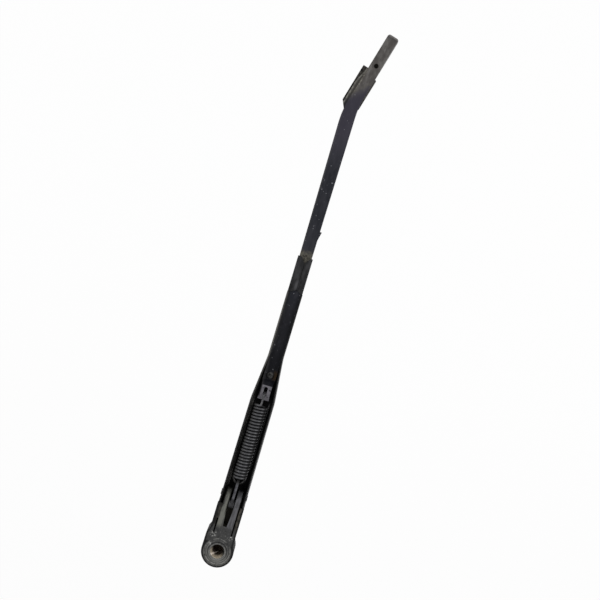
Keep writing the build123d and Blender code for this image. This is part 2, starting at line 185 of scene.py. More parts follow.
def even_path(points: Array, outward: Array, spacing: float, easing: float) -> tuple[Array, Array]:
    """Space a path's points evenly by arc length, then round its corners.

    The rounding is a Gaussian mean of the points along the path.

    Args:
        points: Points along the path, of shape (n, 3).
        outward: A direction at each point, of the same shape.
        spacing: Distance between the new points.
        easing: Standard deviation of the Gaussian, as a distance along the path.

    Returns:
        The new points and the new unit directions.
    """
    steps = np.linalg.norm(np.diff(points, axis=0), axis=1)
    distance = np.concatenate([[0.0], np.cumsum(steps)])
    even = np.linspace(0.0, distance[-1], int(distance[-1] / spacing))
    reach = int(WINDOW_REACH * easing / spacing)
    window = np.exp(-0.5 * (np.arange(-reach, reach + 1) * spacing / easing) ** 2)
    window /= window.sum()

    def ease(values: Array, kind: str) -> Array:
        """Space one coordinate evenly, extend it past both ends and average it.

        Args:
            values: The coordinate at each point of the path.
            kind: How it goes on past an end: "odd" turns it about the end, "even" mirrors it.

        Returns:
            The averaged coordinate.
        """
        samples = np.interp(even, distance, values)
        longer = np.pad(samples, reach, mode="reflect", reflect_type=kind)
        return np.convolve(longer, window, mode="valid")

    placed = np.stack([ease(points[:, axis], "odd") for axis in range(3)], axis=-1)
    turned_out = np.stack([ease(outward[:, axis], "even") for axis in range(3)], axis=-1)
    return placed, unit(turned_out)


def tube(points: Array, outward: Array, radius: float, sides: int) -> Array:
    """Carry a circle along a path, and close both ends with a quarter of an ellipse.

    A ring is the point plus radius times (cos t N + sin t B), where N is the outward direction
    made square to the path and B completes the frame.

    Args:
        points: Points along the path, of shape (n, 3).
        outward: Unit directions that are nowhere along the path, of shape (n, 3).
        radius: Radius of the circle.
        sides: Points on each ring.

    Returns:
        Grid of shape (rings, sides, 3).
    """
    tangent = unit(np.gradient(points, axis=0))
    along = np.sum(outward * tangent, axis=1, keepdims=True)
    normal = unit(outward - along * tangent)
    binormal = np.cross(tangent, normal)
    turn = np.linspace(0.0, 0.5 * np.pi, END_RINGS + 1)[1:, None]
    bulge = END_BULGE * radius * np.sin(turn)
    start = (points[:1] - bulge * tangent[:1])[::-1]
    end = points[-1:] + bulge * tangent[-1:]
    ends = (END_RINGS, END_RINGS)
    centre = np.concatenate([start, points, end])
    size = radius * np.concatenate([np.cos(turn)[::-1], np.ones((len(points), 1)), np.cos(turn)])
    normal = np.pad(normal, (ends, (0, 0)), mode="edge")
    binormal = np.pad(binormal, (ends, (0, 0)), mode="edge")
    angle = np.linspace(0.0, 2.0 * np.pi, sides, endpoint=False)[None, :, None]
    ring = np.cos(angle) * normal[:, None, :] + np.sin(angle) * binormal[:, None, :]
    return centre[:, None, :] + size[:, :, None] * ring


def turned(profile: Array, sides: int) -> Array:
    """Turn a profile of (radius, height) points round the upright axis through the origin.

    Args:
        profile: Points of shape (n, 2).
        sides: Points on each ring.

    Returns:
        Grid of shape (sides, n, 3).
    """
    angle = np.linspace(0.0, 2.0 * np.pi, sides, endpoint=False)[:, None]
    radius, height = profile[None, :, 0], profile[None, :, 1]
    return np.stack([radius * np.cos(angle), radius * np.sin(angle), height + 0.0 * angle], axis=-1)


@dataclass(frozen=True)
class Step:
    """Smooth step of a mask between a base and a share, while a value goes from low to high.

    A fray is the size and the reach of noise that pushes the value up and down, so that the mask's
    border is uneven.
    """

    low: float
    high: float
    share: float = 1.0
    base: float = 0.0
    fray: Optional[Pair] = None


@dataclass(frozen=True)
class Zone:
    """Mask that holds a share between low and high, and fades over an edge on both sides."""

    low: float
    high: float
    edge: float
    share: float = 1.0
    fray: Optional[Pair] = None


@dataclass(frozen=True)
class Mottle:
    """Cloudy mask: noise of a size that steps between a base and a share, from low to high."""

    size: float
    low: float
    high: float
    share: float = 1.0
    base: float = 0.0
    detail: float = 4.0
    rough: float = 0.6
    stretch: Optional[Triple] = None


@dataclass(frozen=True)
class Grain:
    """Fine relief: size, octaves and strength of its noise, and its depth."""

    size: float
    detail: float
    rough: float
    depth: float


# From the right of the arm's middle line to its left
MIDDLE = Step(-0.001, 0.001)


class Bench:
    """Lays out the nodes of one material and joins them to its shader."""

    def __init__(self, name: str) -> None:
        """Start a material with a plain shader.

        Args:
            name: The material's name.
        """
        self.material = bpy.data.materials.new(name)
        self.material.use_nodes = True
        self.nodes = self.material.node_tree.nodes
        self.links = self.material.node_tree.links
        self.shader = self.nodes["Principled BSDF"]
        place = self.nodes.new("ShaderNodeTexCoord")
        self.point = place.outputs["Object"]
        split = self.split(self.point)
        self.length, self.across, self.height = (split[axis.value] for axis in Along)
        normal = self.split(place.outputs["Normal"])
        self.facing = normal[Along.HEIGHT.value]
        self.sideways = normal[Along.ACROSS.value]

    def split(self, vector: Socket) -> Any:
        """Take a vector apart.

        Args:
            vector: The vector's socket.

        Returns:
            Its three parts, by name.
        """
        node = self.nodes.new("ShaderNodeSeparateXYZ")
        self.links.new(vector, node.inputs[0])
        return node.outputs

    def join(self, value: Input, target: Socket) -> None:
        """Link a socket to a target, or set the target's own value.

        Args:
            value: A socket, a number or a colour.
            target: The socket that takes it.
        """
        if isinstance(value, bpy.types.NodeSocket):
            self.links.new(value, target)
        elif isinstance(value, tuple) and target.type == "RGBA":
            target.default_value = (*value, 1.0)
        else:
            target.default_value = value

    def math(self, operation: str, first: Input, second: Input = 0.0) -> Socket:
        """Add, multiply or otherwise combine two numbers.

        Args:
            operation: The operation's name in a Math node.
            first: The first number.
            second: The second number, where the operation has one.

        Returns:
            The result's socket.
        """
        node = self.nodes.new("ShaderNodeMath")
        node.operation = operation
        self.join(first, node.inputs[0])
        self.join(second, node.inputs[1])
        return node.outputs[0]

    def both(self, first: Input, *others: Input) -> Socket:
        """Multiply masks.

        Args:
            first: The first mask.
            others: Masks or shares that it is multiplied by.

        Returns:
            The product's socket.
        """
        result = first
        for other in others:
            result = self.math("MULTIPLY", result, other)
        return result

    def either(self, first: Input, second: Input) -> Socket:
        """Larger of two masks."""
        return self.math("MAXIMUM", first, second)

    def rest(self, mask: Socket) -> Socket:
        """What a mask leaves."""
        return self.math("SUBTRACT", 1.0, mask)

    def spread(self, first: Socket, second: Socket) -> Socket:
        """Root of the sum of two squares."""
        squares = self.math("ADD", self.both(first, first), self.both(second, second))
        return self.math("SQRT", squares)

    def along_bar(self) -> tuple[Socket, Socket]:
        """Read where a point lies on the bar past the bend.

        Returns:
            Distance along the bar from the bend, and distance to the left of its middle line.
        """
        ahead = self.math("SUBTRACT", self.length, BEND_X)
        along = self.math("SUBTRACT", self.both(ahead, math.cos(BEND_TURN)),
                          self.both(self.across, math.sin(BEND_TURN)))
        beside = self.math("ADD", self.both(ahead, math.sin(BEND_TURN)),
                           self.both(self.across, math.cos(BEND_TURN)))
        return along, beside

    def noise(self, size: float, detail: float, rough: float, stretch: Optional[Triple] = None,
              place: Optional[Socket] = None) -> Socket:
        """Cloudy noise between about 0.2 and 0.8.

        Args:
            size: Width of one cloud.
            detail: Octaves of finer noise.
            rough: Strength of the finer noise.
            stretch: Factors on the axes, where the noise is drawn out.
            place: The vector or number to read in place of the point on the piece.

        Returns:
            The noise's socket.
        """
        node = self.nodes.new("ShaderNodeTexNoise")
        node.inputs["Scale"].default_value = 1.0 / size
        node.inputs["Detail"].default_value = detail
        node.inputs["Roughness"].default_value = rough
        source = place or self.point
        if stretch:
            mapping = self.nodes.new("ShaderNodeMapping")
            mapping.inputs["Scale"].default_value = stretch
            self.links.new(source, mapping.inputs["Vector"])
            source = mapping.outputs[0]
        self.links.new(source, node.inputs["Vector"])
        return node.outputs[0]

    def frayed(self, value: Socket, fray: Optional[Pair]) -> Socket:
        """Push a number up and down by noise, where there is a fray.

        Args:
            value: The number's socket.
            fray: Size and reach of the noise.

        Returns:
            The pushed number, or the number itself.
        """
        if fray is None:
            return value
        size, reach = fray
        push = self.math("SUBTRACT", self.noise(size, FRAY_DETAIL, FRAY_ROUGH), 0.5)
        return self.math("ADD", value, self.both(push, 2.0 * reach))

    def ramp(self, value: Input, low: float, high: float, base: float = 0.0,
             share: float = 1.0) -> Socket:
        """Smooth step from a base to a share while a value goes from low to high.

        Args:
            value: The number to read.
            low: Where the step starts.
            high: Where it ends.
            base: Result at and before low.
            share: Result at and past high.

        Returns:
            The result's socket.
        """
        node = self.nodes.new("ShaderNodeMapRange")
        node.interpolation_type = "SMOOTHSTEP"
        self.join(value, node.inputs["Value"])
        node.inputs["From Min"].default_value = low
        node.inputs["From Max"].default_value = high
        node.inputs["To Min"].default_value = base
        node.inputs["To Max"].default_value = share
        return node.outputs["Result"]

    def rise(self, value: Socket, step: Step) -> Socket:
        """Mask that goes up from a step's base to its share."""
        return self.ramp(self.frayed(value, step.fray), step.low, step.high, step.base, step.share)

    def fall(self, value: Socket, step: Step) -> Socket:
        """Mask that goes down from a step's share to its base."""
        return self.ramp(self.frayed(value, step.fray), step.low, step.high, step.share, step.base)

    def band(self, value: Socket, zone: Zone) -> Socket:
        """Mask of a zone along a value.

        Args:
            value: The number to read.
            zone: Where the mask holds and how it fades.

        Returns:
            The mask's socket.
        """
        read = self.frayed(value, zone.fray)
        return self.both(self.ramp(read, zone.low - zone.edge, zone.low + zone.edge, 0.0, zone.share),
                         self.ramp(read, zone.high - zone.edge, zone.high + zone.edge, 1.0, 0.0))

    def spot(self, x: float, y: float, radius: float) -> Socket:
        """Round mask about a plan point, which fades from its middle to its radius.

        Args:
            x: Where the point is along the arm.
            y: Where it is across the arm.
            radius: Where the mask ends.

        Returns:
            The mask's socket.
        """
        reach = self.spread(self.math("SUBTRACT", self.length, x),
                            self.math("SUBTRACT", self.across, y))
        return self.ramp(reach, SPOT_CORE * radius, radius, 1.0, 0.0)

    def mottle(self, kind: Mottle, place: Optional[Socket] = None) -> Socket:
        """Cloudy mask, by the point on the piece or by another place."""
        noise = self.noise(kind.size, kind.detail, kind.rough, kind.stretch, place)
        return self.ramp(noise, kind.low, kind.high, kind.base, kind.share)

    def grain(self, kind: Grain) -> Socket:
        """Noise of a fine relief."""
        return self.noise(kind.size, kind.detail, kind.rough)

    def mix(self, share: Input, low: Input, high: Input) -> Socket:
        """One colour laid over another by a share.

        Args:
            share: How much of the second colour shows.
            low: Colour at a share of 0.
            high: Colour at a share of 1.

        Returns:
            The mixed colour's socket.
        """
        node = self.nodes.new("ShaderNodeMix")
        node.data_type = "RGBA"
        self.join(share, node.inputs["Factor"])
        self.join(low, node.inputs[MIX_FIRST])
        self.join(high, node.inputs[MIX_SECOND])
        return node.outputs[MIX_RESULT]

    def bump(self, height: Socket, depth: float) -> Socket:
        """Bumped normal from a height between 0 and 1.

        Args:
            height: The height's socket.
            depth: Depth in metres that a height of 1 stands for.

        Returns:
            The normal's socket.
        """
        node = self.nodes.new("ShaderNodeBump")
        node.inputs["Strength"].default_value = 1.0
        node.inputs["Distance"].default_value = depth
        self.links.new(height, node.inputs["Height"])
        return node.outputs[0]

    def finish(self, colour: Socket, rough: Socket, normal: Socket, specular: float,
               metallic: float = 0.0) -> bpy.types.Material:
        """Join the layers to the shader.

        Args:
            colour: Base colour.
            rough: Roughness.
            normal: Bumped normal.
            specular: Specular level, the same all over.
            metallic: Metallic share, the same all over.

        Returns:
            The finished material.
        """
        self.links.new(colour, self.shader.inputs["Base Color"])
        self.links.new(rough, self.shader.inputs["Roughness"])
        self.links.new(normal, self.shader.inputs["Normal"])
        self.shader.inputs["Specular IOR Level"].default_value = specular
        self.shader.inputs["Metallic"].default_value = metallic
        return self.material


@dataclass(frozen=True)
class Finish:
    """A finish by name, for one of the record's material slots."""

    name: str
    slot: str

    def material(self) -> bpy.types.Material:
        """Build the finish; every kind of finish has its own layers."""
        raise NotImplementedError

    def dress(self, piece: bpy.types.Object) -> None:
        """Give a piece this finish in place of whatever it has.

        Args:
            piece: The piece to dress.
        """
        made = bpy.data.materials.get(self.name) or self.material()
        piece.data.materials.clear()
        piece.data.materials.append(made)
        LOG.info("%s: %s", piece.name, self.name)


@dataclass(frozen=True)
class CastFinish(Finish):
    """Bare casting with wear on the glass side, painted edges and sides, and a rusty bore; the ribs and the bore
    also carry painted light and shade.
    """

    name: str = "cast_head"
    slot: str = "head_casting"

    light: Triple = (0.160, 0.159, 0.148)
    dark: Triple = (0.042, 0.042, 0.042)
    # Rib tones: the left rib painted lit, the right rib painted shaded
    rib_lit: Triple = (0.140, 0.141, 0.124)
    rib_shaded: Triple = (0.104, 0.104, 0.112)
    flank: Triple = (0.062, 0.057, 0.046)
    # Dark dirt in the pits, also laid as painted shade on the rib edges and tips and over the bore's front wall
    grime_and_shade: Triple = (0.010, 0.0095, 0.008)
    paint: Triple = (0.0045, 0.0045, 0.0045)
    dull_paint: Triple = (0.0120, 0.0120, 0.0125)
    slot_dirt: Triple = (0.055, 0.051, 0.040)
    ring: Triple = (0.270, 0.268, 0.252)
    chip: Triple = (0.42, 0.42, 0.40)
    beige: Triple = (0.36, 0.31, 0.235)
    rust: Triple = (0.060, 0.046, 0.036)
    # Bright tone of the painted glint in the bore
    painted_glint: Triple = (0.74, 0.66, 0.58)

    boss_run: Step = Step(-0.012, 0.013)
    boss_shade: Step = Step(0.0, 1.0, fray=(0.0042, 0.75))
    turned_rings: Mottle = Mottle(0.0009, 0.46, 0.58, 0.85, detail=2.0, rough=0.5)
    pits: Mottle = Mottle(0.0019, 0.53, 0.66, 0.6, rough=0.7)
    broken: Mottle = Mottle(0.0045, 0.40, 0.58, rough=0.65)
    bright_rings: tuple[Zone, ...] = (
        Zone(0.0065, 0.0069, 0.0003, 0.75, (0.004, 0.0002)),
        Zone(0.0086, 0.0090, 0.0003, 0.60, (0.004, 0.0002)),
        Zone(0.0100, 0.0110, 0.0003, 0.85, (0.004, 0.0002)))
    scratches: Mottle = Mottle(0.0011, 0.60, 0.70, 0.6, detail=3.0, stretch=(0.3, 1.2, 1.0))
    chips: Mottle = Mottle(0.0013, 0.50, 0.60, 0.8, detail=3.0)
    chip_spots: tuple[Triple, ...] = (
        (0.0137, 0.0072, 0.0036), (0.0049, 0.0084, 0.0028), (0.0135, -0.0069, 0.0030))

    rib_streaks: Mottle = Mottle(0.0022, 0.46, 0.66, 0.75, rough=0.65, stretch=(0.25, 1.0, 1.0))
    flank_patches: Mottle = Mottle(0.0024, 0.42, 0.62, rough=0.65, stretch=(0.5, 1.0, 1.0))
    flank_sides: Step = Step(0.0, 1.0, base=0.45)
    rib_edge: Step = Step(0.0063, 0.0070, fray=(0.0025, 0.0005))
    inner_edge: Step = Step(0.0031, 0.0037)
    inner_start: Step = Step(0.0, 0.0010)
    inner_run: Step = Step(FORK_X - 0.012, FORK_X - 0.004)
    outer_edge: Step = Step(0.0059, 0.0063)
    outer_run: Step = Step(FORK_X - 0.004, FORK_X)
    tip_run: Step = Step(0.0495, 0.0510, fray=(0.003, 0.0008))
    # Share of painted shade on the rib edges and tips
    rib_shade: float = 0.85
    root_run: Step = Step(0.019, 0.023, fray=(0.003, 0.002))

    boss_edge: Step = Step(0.0112, 0.0121, fray=(0.002, 0.0005))
    left_width: Step = Step(0.0145, 0.0200, share=0.0093, base=0.0116)
    right_width: float = 0.0098
    neck_fray: Pair = (0.003, 0.0006)
    neck_edge: Step = Step(-0.0004, 0.0005)
    neck_run: Step = Step(0.006, 0.008)

    looks_up: Step = Step(0.80, 0.92)
    upright: Step = Step(0.3, 0.6)
    floor_z: Step = Step(HEAD_TOP - 0.0024, HEAD_TOP - 0.0012)
    fork_run: Step = Step(FORK_X - 0.0005, FORK_X + 0.0005)
    fork_edge: Step = Step(0.0071, 0.0073)
    coat_clouds: Mottle = Mottle(0.006, 0.42, 0.66, detail=5.0, rough=0.65)
    coat_chips: Mottle = Mottle(0.0022, 0.68, 0.73, 0.6, detail=3.0)
    slot_edge: Step = Step(0.0027, 0.0032)
    slot_run: Step = Step(0.019, 0.021)

    back_slant: float = 0.35
    back_run: Step = Step(-0.0030, 0.0010, fray=(0.002, 0.001))
    crust_flakes: Mottle = Mottle(0.0017, 0.42, 0.60, 0.18, rough=0.7)
    crust_foot: Step = Step(0.0128, 0.0148)
    # Where the painted glint runs down the bore's back wall
    glint_slope: float = 2.0
    glint_zone: Zone = Zone(0.0073, 0.0097, 0.0006, 0.9, (0.002, 0.0005))
    glint_back: Step = Step(-0.0006, 0.0010)
    glint_right: Step = Step(-0.0022, -0.0010)
    bore_edge: Step = Step(0.0060, 0.0064)
    lip_z: Step = Step(0.0174, 0.0178)
    lip_share: float = 0.7

    grain: Grain = Grain(0.0009, 5.0, 0.65, 0.00012)
    roughness: Pair = (0.55, 0.80)
    specular: float = 0.22

    def worn_face(self, bench: Bench, radius: Socket) -> Socket:
        """Bare face: light behind the bore and dark before it, with turned rings and chips.

        Args:
            bench: Where the nodes are laid out.
            radius: Distance from the spindle axis.

        Returns:
            The colour's socket.
        """
        shade = bench.rise(bench.rise(bench.length, self.boss_run), self.boss_shade)
        face = bench.mix(shade, self.light, self.dark)
        face = bench.mix(bench.mottle(self.turned_rings, radius), face, self.dark)
        face = bench.mix(bench.mottle(self.pits), face, self.grime_and_shade)
        broken = bench.mottle(self.broken)
        for ring in self.bright_rings:
            face = bench.mix(bench.both(bench.band(radius, ring), broken), face, self.ring)
        face = bench.mix(bench.mottle(self.scratches), face, self.light)
        chips = bench.mottle(self.chips)
        for spot in self.chip_spots:
            face = bench.mix(bench.both(bench.spot(*spot), chips), face, self.chip)
        return face

    def ribbed(self, bench: Bench, face: Socket) -> Socket:
        """Lay the ribs over the face, painted lit and warm on the left and shaded and cool on the right, dull
        flanks, and painted shade at the left rib's edges and the rib tips.

        Args:
            bench: Where the nodes are laid out.
            face: The colour of the face.

        Returns:
            The colour's socket.
        """
        # Painted light: the left rib is lit and warm, the right one shaded and cool, though both look up.
        rib = bench.mix(bench.rise(bench.across, MIDDLE), self.rib_shaded, self.rib_lit)
        rib = bench.mix(bench.mottle(self.rib_streaks), rib, self.dark)
        right = bench.fall(bench.across, MIDDLE)
        patches = bench.both(bench.mottle(self.flank_patches), bench.rise(right, self.flank_sides))
        flank = bench.mix(patches, self.grime_and_shade, self.flank)
        side = bench.math("ABSOLUTE", bench.across)
        rib = bench.mix(bench.rise(side, self.rib_edge), rib, flank)
        # Painted shade on the left rib's inner and outer edges and on both rib tips.
        inner = bench.both(bench.fall(bench.across, self.inner_edge),
                           bench.rise(bench.across, self.inner_start),
                           bench.rise(bench.length, self.inner_run))
        outer = bench.both(bench.rise(bench.across, self.outer_edge),
                           bench.rise(bench.length, self.outer_run))
        shaded = bench.either(bench.either(inner, outer), bench.rise(bench.length, self.tip_run))
        rib = bench.mix(bench.both(shaded, self.rib_shade), rib, self.grime_and_shade)
        return bench.mix(bench.rise(bench.length, self.root_run), face, rib)

    def outer_rim(self, bench: Bench, radius: Socket) -> Socket:
        """Mask of the painted border: past a radius on the boss, and past a width on the neck.

        Args:
            bench: Where the nodes are laid out.
            radius: Distance from the spindle axis.

        Returns:
            The mask's socket.
        """
        width = bench.rise(bench.length, self.left_width)
        left = bench.math("SUBTRACT", bench.frayed(bench.across, self.neck_fray), width)
        right = bench.math("SUBTRACT", bench.both(bench.across, -1.0), self.right_width)
        past_neck = bench.rise(bench.either(left, right), self.neck_edge)
        past_boss = bench.rise(radius, self.boss_edge)
        return bench.mix(bench.rise(bench.length, self.neck_run), past_boss, past_neck)

    def painted(self, bench: Bench, face: Socket, radius: Socket) -> Socket:
        """Keep the face where it looks up, lay dulled paint elsewhere and dirt in the slot.

        Args:
            bench: Where the nodes are laid out.
            face: The colour of the face.
            radius: Distance from the spindle axis.

        Returns:
            The colour's socket.
        """
        floor = bench.fall(bench.height, self.floor_z)
        bare = bench.both(bench.rise(bench.facing, self.looks_up),
                          bench.rest(self.outer_rim(bench, radius)), bench.rest(floor))
        side = bench.math("ABSOLUTE", bench.across)
        fork = bench.both(bench.rise(bench.length, self.fork_run), bench.fall(side, self.fork_edge))
        coat = bench.mix(bench.mottle(self.coat_clouds), self.paint, self.dull_paint)
        chips = bench.both(bench.mottle(self.coat_chips), bench.fall(bench.facing, self.upright))
        coat = bench.mix(chips, coat, self.flank)
        in_slot = bench.both(bench.fall(side, self.slot_edge),
                             bench.rise(bench.length, self.slot_run), floor)
        coat = bench.mix(in_slot, coat, self.slot_dirt)
        return bench.mix(bench.either(bare, fork), coat, face)

    def bored(self, bench: Bench, face: Socket, radius: Socket) -> Socket:
        """Lay pale crust on the back of the bore's mouth, rust below it, painted shade over its front wall, and a
        painted glint as a bright line down its back.

        Args:
            bench: Where the nodes are laid out.
            face: The colour of the face.
            radius: Distance from the spindle axis.

        Returns:
            The colour's socket.
        """
        crust = bench.mix(bench.mottle(self.crust_flakes), self.beige, self.rust)
        crust = bench.mix(bench.fall(bench.height, self.crust_foot), crust, self.rust)
        back = bench.math("SUBTRACT", bench.length, bench.both(bench.across, self.back_slant))
        # The back wall takes the crust, and the front wall takes the dark tone as painted shade.
        lining = bench.mix(bench.fall(back, self.back_run), self.grime_and_shade, crust)
        # Painted highlight: a bright diagonal line down the back wall stands for a glint of light.
        slope = bench.math("SUBTRACT", bench.height, bench.both(bench.across, self.glint_slope))
        glint = bench.both(bench.band(slope, self.glint_zone), bench.fall(bench.length, self.glint_back),
                            bench.rise(bench.across, self.glint_right))
        lining = bench.mix(glint, lining, self.painted_glint)
        bore = bench.fall(radius, self.bore_edge)
        face = bench.mix(bench.both(bore, self.lip_share), face, self.ring)
        return bench.mix(bench.both(bore, bench.fall(bench.height, self.lip_z)), face, lining)

    def material(self) -> bpy.types.Material:
        """Build the finish: masks by facing, height and distance from the spindle axis.

        Returns:
            The finished material.
        """
        bench = Bench(self.name)
        radius = bench.spread(bench.length, bench.across)
        colour = self.ribbed(bench, self.worn_face(bench, radius))
        colour = self.bored(bench, self.painted(bench, colour, radius), radius)
        grain = bench.grain(self.grain)
        rough = bench.ramp(grain, *GRAIN_SPAN, *self.roughness)
        return bench.finish(colour, rough, bench.bump(grain, self.grain.depth), self.specular)


@dataclass(frozen=True)
class PaintFinish(Finish):
    """Black paint that has dulled, with dust in the trough, rims with wear, and painted light on the left rims,
    the left wall and beside the spring.
    """

    name: str = "dulled_black"
    slot: str = "black_paint"

    paint: Triple = (0.0036, 0.0036, 0.0038)
    dull: Triple = (0.0105, 0.0105, 0.0115)
    dust: Triple = (0.050, 0.046, 0.036)
    # Left rims: pale from wear and from painted highlight; the right rims stay darker
    bay_rim_wear_and_light: Triple = (0.034, 0.0335, 0.031)
    throat_rim_wear_and_light: Triple = (0.100, 0.097, 0.088)
    right_rim: Triple = (0.014, 0.014, 0.014)
    smudge: Triple = (0.078, 0.078, 0.082)
    # Pale dust tone, partly painted light, on the left wall's inner face
    film_and_light: Triple = (0.120, 0.117, 0.105)
    drift: Triple = (0.260, 0.254, 0.240)
    edge_dust: Triple = (0.085, 0.080, 0.072)
    bend_dust: Triple = (0.040, 0.040, 0.044)
    dust_rim: Triple = (0.270, 0.260, 0.230)
    # Bright tone of the painted highlight line beside the spring
    highlight_line: Triple = (0.300, 0.300, 0.305)
    chalk: Triple = (0.026, 0.026, 0.027)
    patch: Triple = (0.036, 0.033, 0.028)

    looks_up: Step = Step(0.75, 0.95)
    looks_right: Step = Step(-0.7, -0.3)
    half_up: Step = Step(0.1, 0.4)
    looks_out: Step = Step(-0.4, 0.2)
    clouds: Mottle = Mottle(0.010, 0.38, 0.66, detail=5.0, stretch=(0.35, 1.0, 1.0))
    specks: Mottle = Mottle(0.0014, 0.62, 0.72, 0.6, detail=3.0)
    dust_streaks: Mottle = Mottle(0.006, 0.34, 0.60, 0.9, 0.3, rough=0.65, stretch=(0.35, 1.0, 1.0))
    wall_y: Step = Step(0.0050, 0.0060)
    wall_z: Step = Step(0.0060, 0.0130)
    wall_run: Step = Step(SHOULDER_X - 0.020, SHOULDER_X)
    corner_y: Step = Step(0.0068, 0.0076, fray=(0.004, 0.0005))
    corner_run: Step = Step(BAY_END, SHOULDER_X)
    floor_z: Step = Step(0.0022, 0.0030)
    highlight_y: Zone = Zone(-0.0068, -0.0062, 0.0002)
    highlight_run: Zone = Zone(0.066, 0.124, 0.002)
    faded: Mottle = Mottle(0.007, 0.44, 0.64, 0.7, detail=5.0, rough=0.68, stretch=(0.3, 1.0, 1.0))
    scratches: Mottle = Mottle(0.0016, 0.62, 0.68, detail=2.0, rough=0.5, stretch=(0.12, 1.0, 1.0))

    clasp_run: Zone = Zone(CLASP_START, CLASP_END, 0.001)
    clasp_z: Step = Step(0.0050, 0.0054)
    clasp_rubs: Mottle = Mottle(0.004, 0.38, 0.66, 0.36, 0.06, stretch=(0.4, 1.0, 1.0))
    smudge_y: Zone = Zone(-0.0008, 0.0022, 0.0016, 0.75, (0.003, 0.0008))
    smudge_run: Zone = Zone(0.2240, 0.2325, 0.0040)
    rim_z: Step = Step(0.0058, 0.0062)
    rim_run: Step = Step(CLASP_START - 0.001, CLASP_START)
    rim_change: Step = Step(SHOULDER_X - 0.015, SHOULDER_X + 0.015)
    rim_chips: Mottle = Mottle(0.005, 0.36, 0.60, 0.95, 0.35, detail=5.0, rough=0.7,
                               stretch=(0.4, 1.0, 1.0))
    bay_run: Step = Step(BAY_END - 0.002, BAY_END + 0.002)
    bay_edge: Step = Step(0.0091, 0.0095)

    plate_start: Step = Step(PLATE_X - 0.020, PLATE_X - 0.010)
    patches: Mottle = Mottle(0.0045, 0.42, 0.60, rough=0.65)
    patch_run: Step = Step(PLATE_X, PLATE_X + 0.030, base=0.35)
    dust_width: Step = Step(0.022, 0.036, share=0.0012, base=0.0034)
    dust_fray: Pair = (0.003, 0.0004)
    dust_edge: Step = Step(-0.0002, 0.0003, 0.9)
    dust_tones: Step = Step(0.004, 0.014)
    crumbs: Mottle = Mottle(0.0020, 0.40, 0.60, 0.9, 0.25, detail=3.0)
    crumb_run: Step = Step(-0.0016, -0.0006)

    grain: Grain = Grain(0.0006, 4.0, 0.6, 0.00004)
    roughness: Pair = (0.45, 0.62)
    specular: float = 0.14

    def trough(self, bench: Bench, clouds: Socket, up: Socket) -> Socket:
        """Dull clouds, dust on the left with a pale coat on the left wall that is partly painted light, a painted
        highlight line beside the spring, and faded outer faces.

        Args:
            bench: Where the nodes are laid out.
            clouds: Mask of where the paint is dull.
            up: Mask of what looks up.

        Returns:
            The colour's socket.
        """
        colour = bench.mix(clouds, self.paint, self.dull)
        colour = bench.mix(bench.both(bench.mottle(self.specks), up), colour, self.dust)
        streaks = bench.mottle(self.dust_streaks)
        # Pale coat on the left wall's inner face: dust, and painted light where that face catches the light.
        on_wall = bench.both(bench.fall(bench.sideways, self.looks_right),
                             bench.rise(bench.across, self.wall_y), bench.rise(bench.height, self.wall_z),
                             bench.fall(bench.length, self.wall_run))
        colour = bench.mix(bench.both(on_wall, streaks), colour, self.film_and_light)
        floor = bench.fall(bench.height, self.floor_z)
        in_corner = bench.both(bench.rise(bench.across, self.corner_y), floor,
                               bench.rise(bench.facing, self.half_up),
                               bench.fall(bench.length, self.corner_run))
        colour = bench.mix(bench.both(in_corner, streaks), colour, self.drift)
        # Painted highlight: a pale line on the floor along the spring's right side.
        rub_and_highlight = bench.both(bench.band(bench.across, self.highlight_y), up, floor,
                            bench.band(bench.length, self.highlight_run))
        colour = bench.mix(rub_and_highlight, colour, self.highlight_line)
        marks = bench.either(bench.mottle(self.faded), bench.mottle(self.scratches))
        return bench.mix(bench.both(bench.fall(bench.facing, self.looks_out), marks), colour, self.chalk)

    def worn_edges(self, bench: Bench, colour: Socket, up: Socket) -> Socket:
        """Rims pale on the left from wear and painted highlight, darker on the right, black past the bay's edge,
        and a clasp with rubs.

        Args:
            bench: Where the nodes are laid out.
            colour: The colour below.
            up: Mask of what looks up.

        Returns:
            The colour's socket.
        """
        on_clasp = bench.both(bench.band(bench.length, self.clasp_run), up,
                              bench.rise(bench.height, self.clasp_z))
        centre = bench.both(bench.band(bench.across, self.smudge_y),
                            bench.band(bench.length, self.smudge_run))
        rubs = bench.either(bench.mottle(self.clasp_rubs), centre)
        colour = bench.mix(bench.both(on_clasp, rubs), colour, self.smudge)
        on_rim = bench.both(bench.rise(bench.height, self.rim_z), up,
                            bench.fall(bench.length, self.rim_run))
        # The left rims are painted pale, partly wear and partly painted highlight, against darker right rims.
        left = bench.mix(bench.rise(bench.length, self.rim_change), self.bay_rim_wear_and_light, self.throat_rim_wear_and_light)
        border = bench.both(bench.fall(bench.length, self.bay_run),
                            bench.rise(bench.across, self.bay_edge))
        left = bench.mix(border, left, self.paint)
        rim = bench.mix(bench.rise(bench.across, MIDDLE), self.right_rim, left)
        return bench.mix(bench.both(on_rim, bench.mottle(self.rim_chips)), colour, rim)

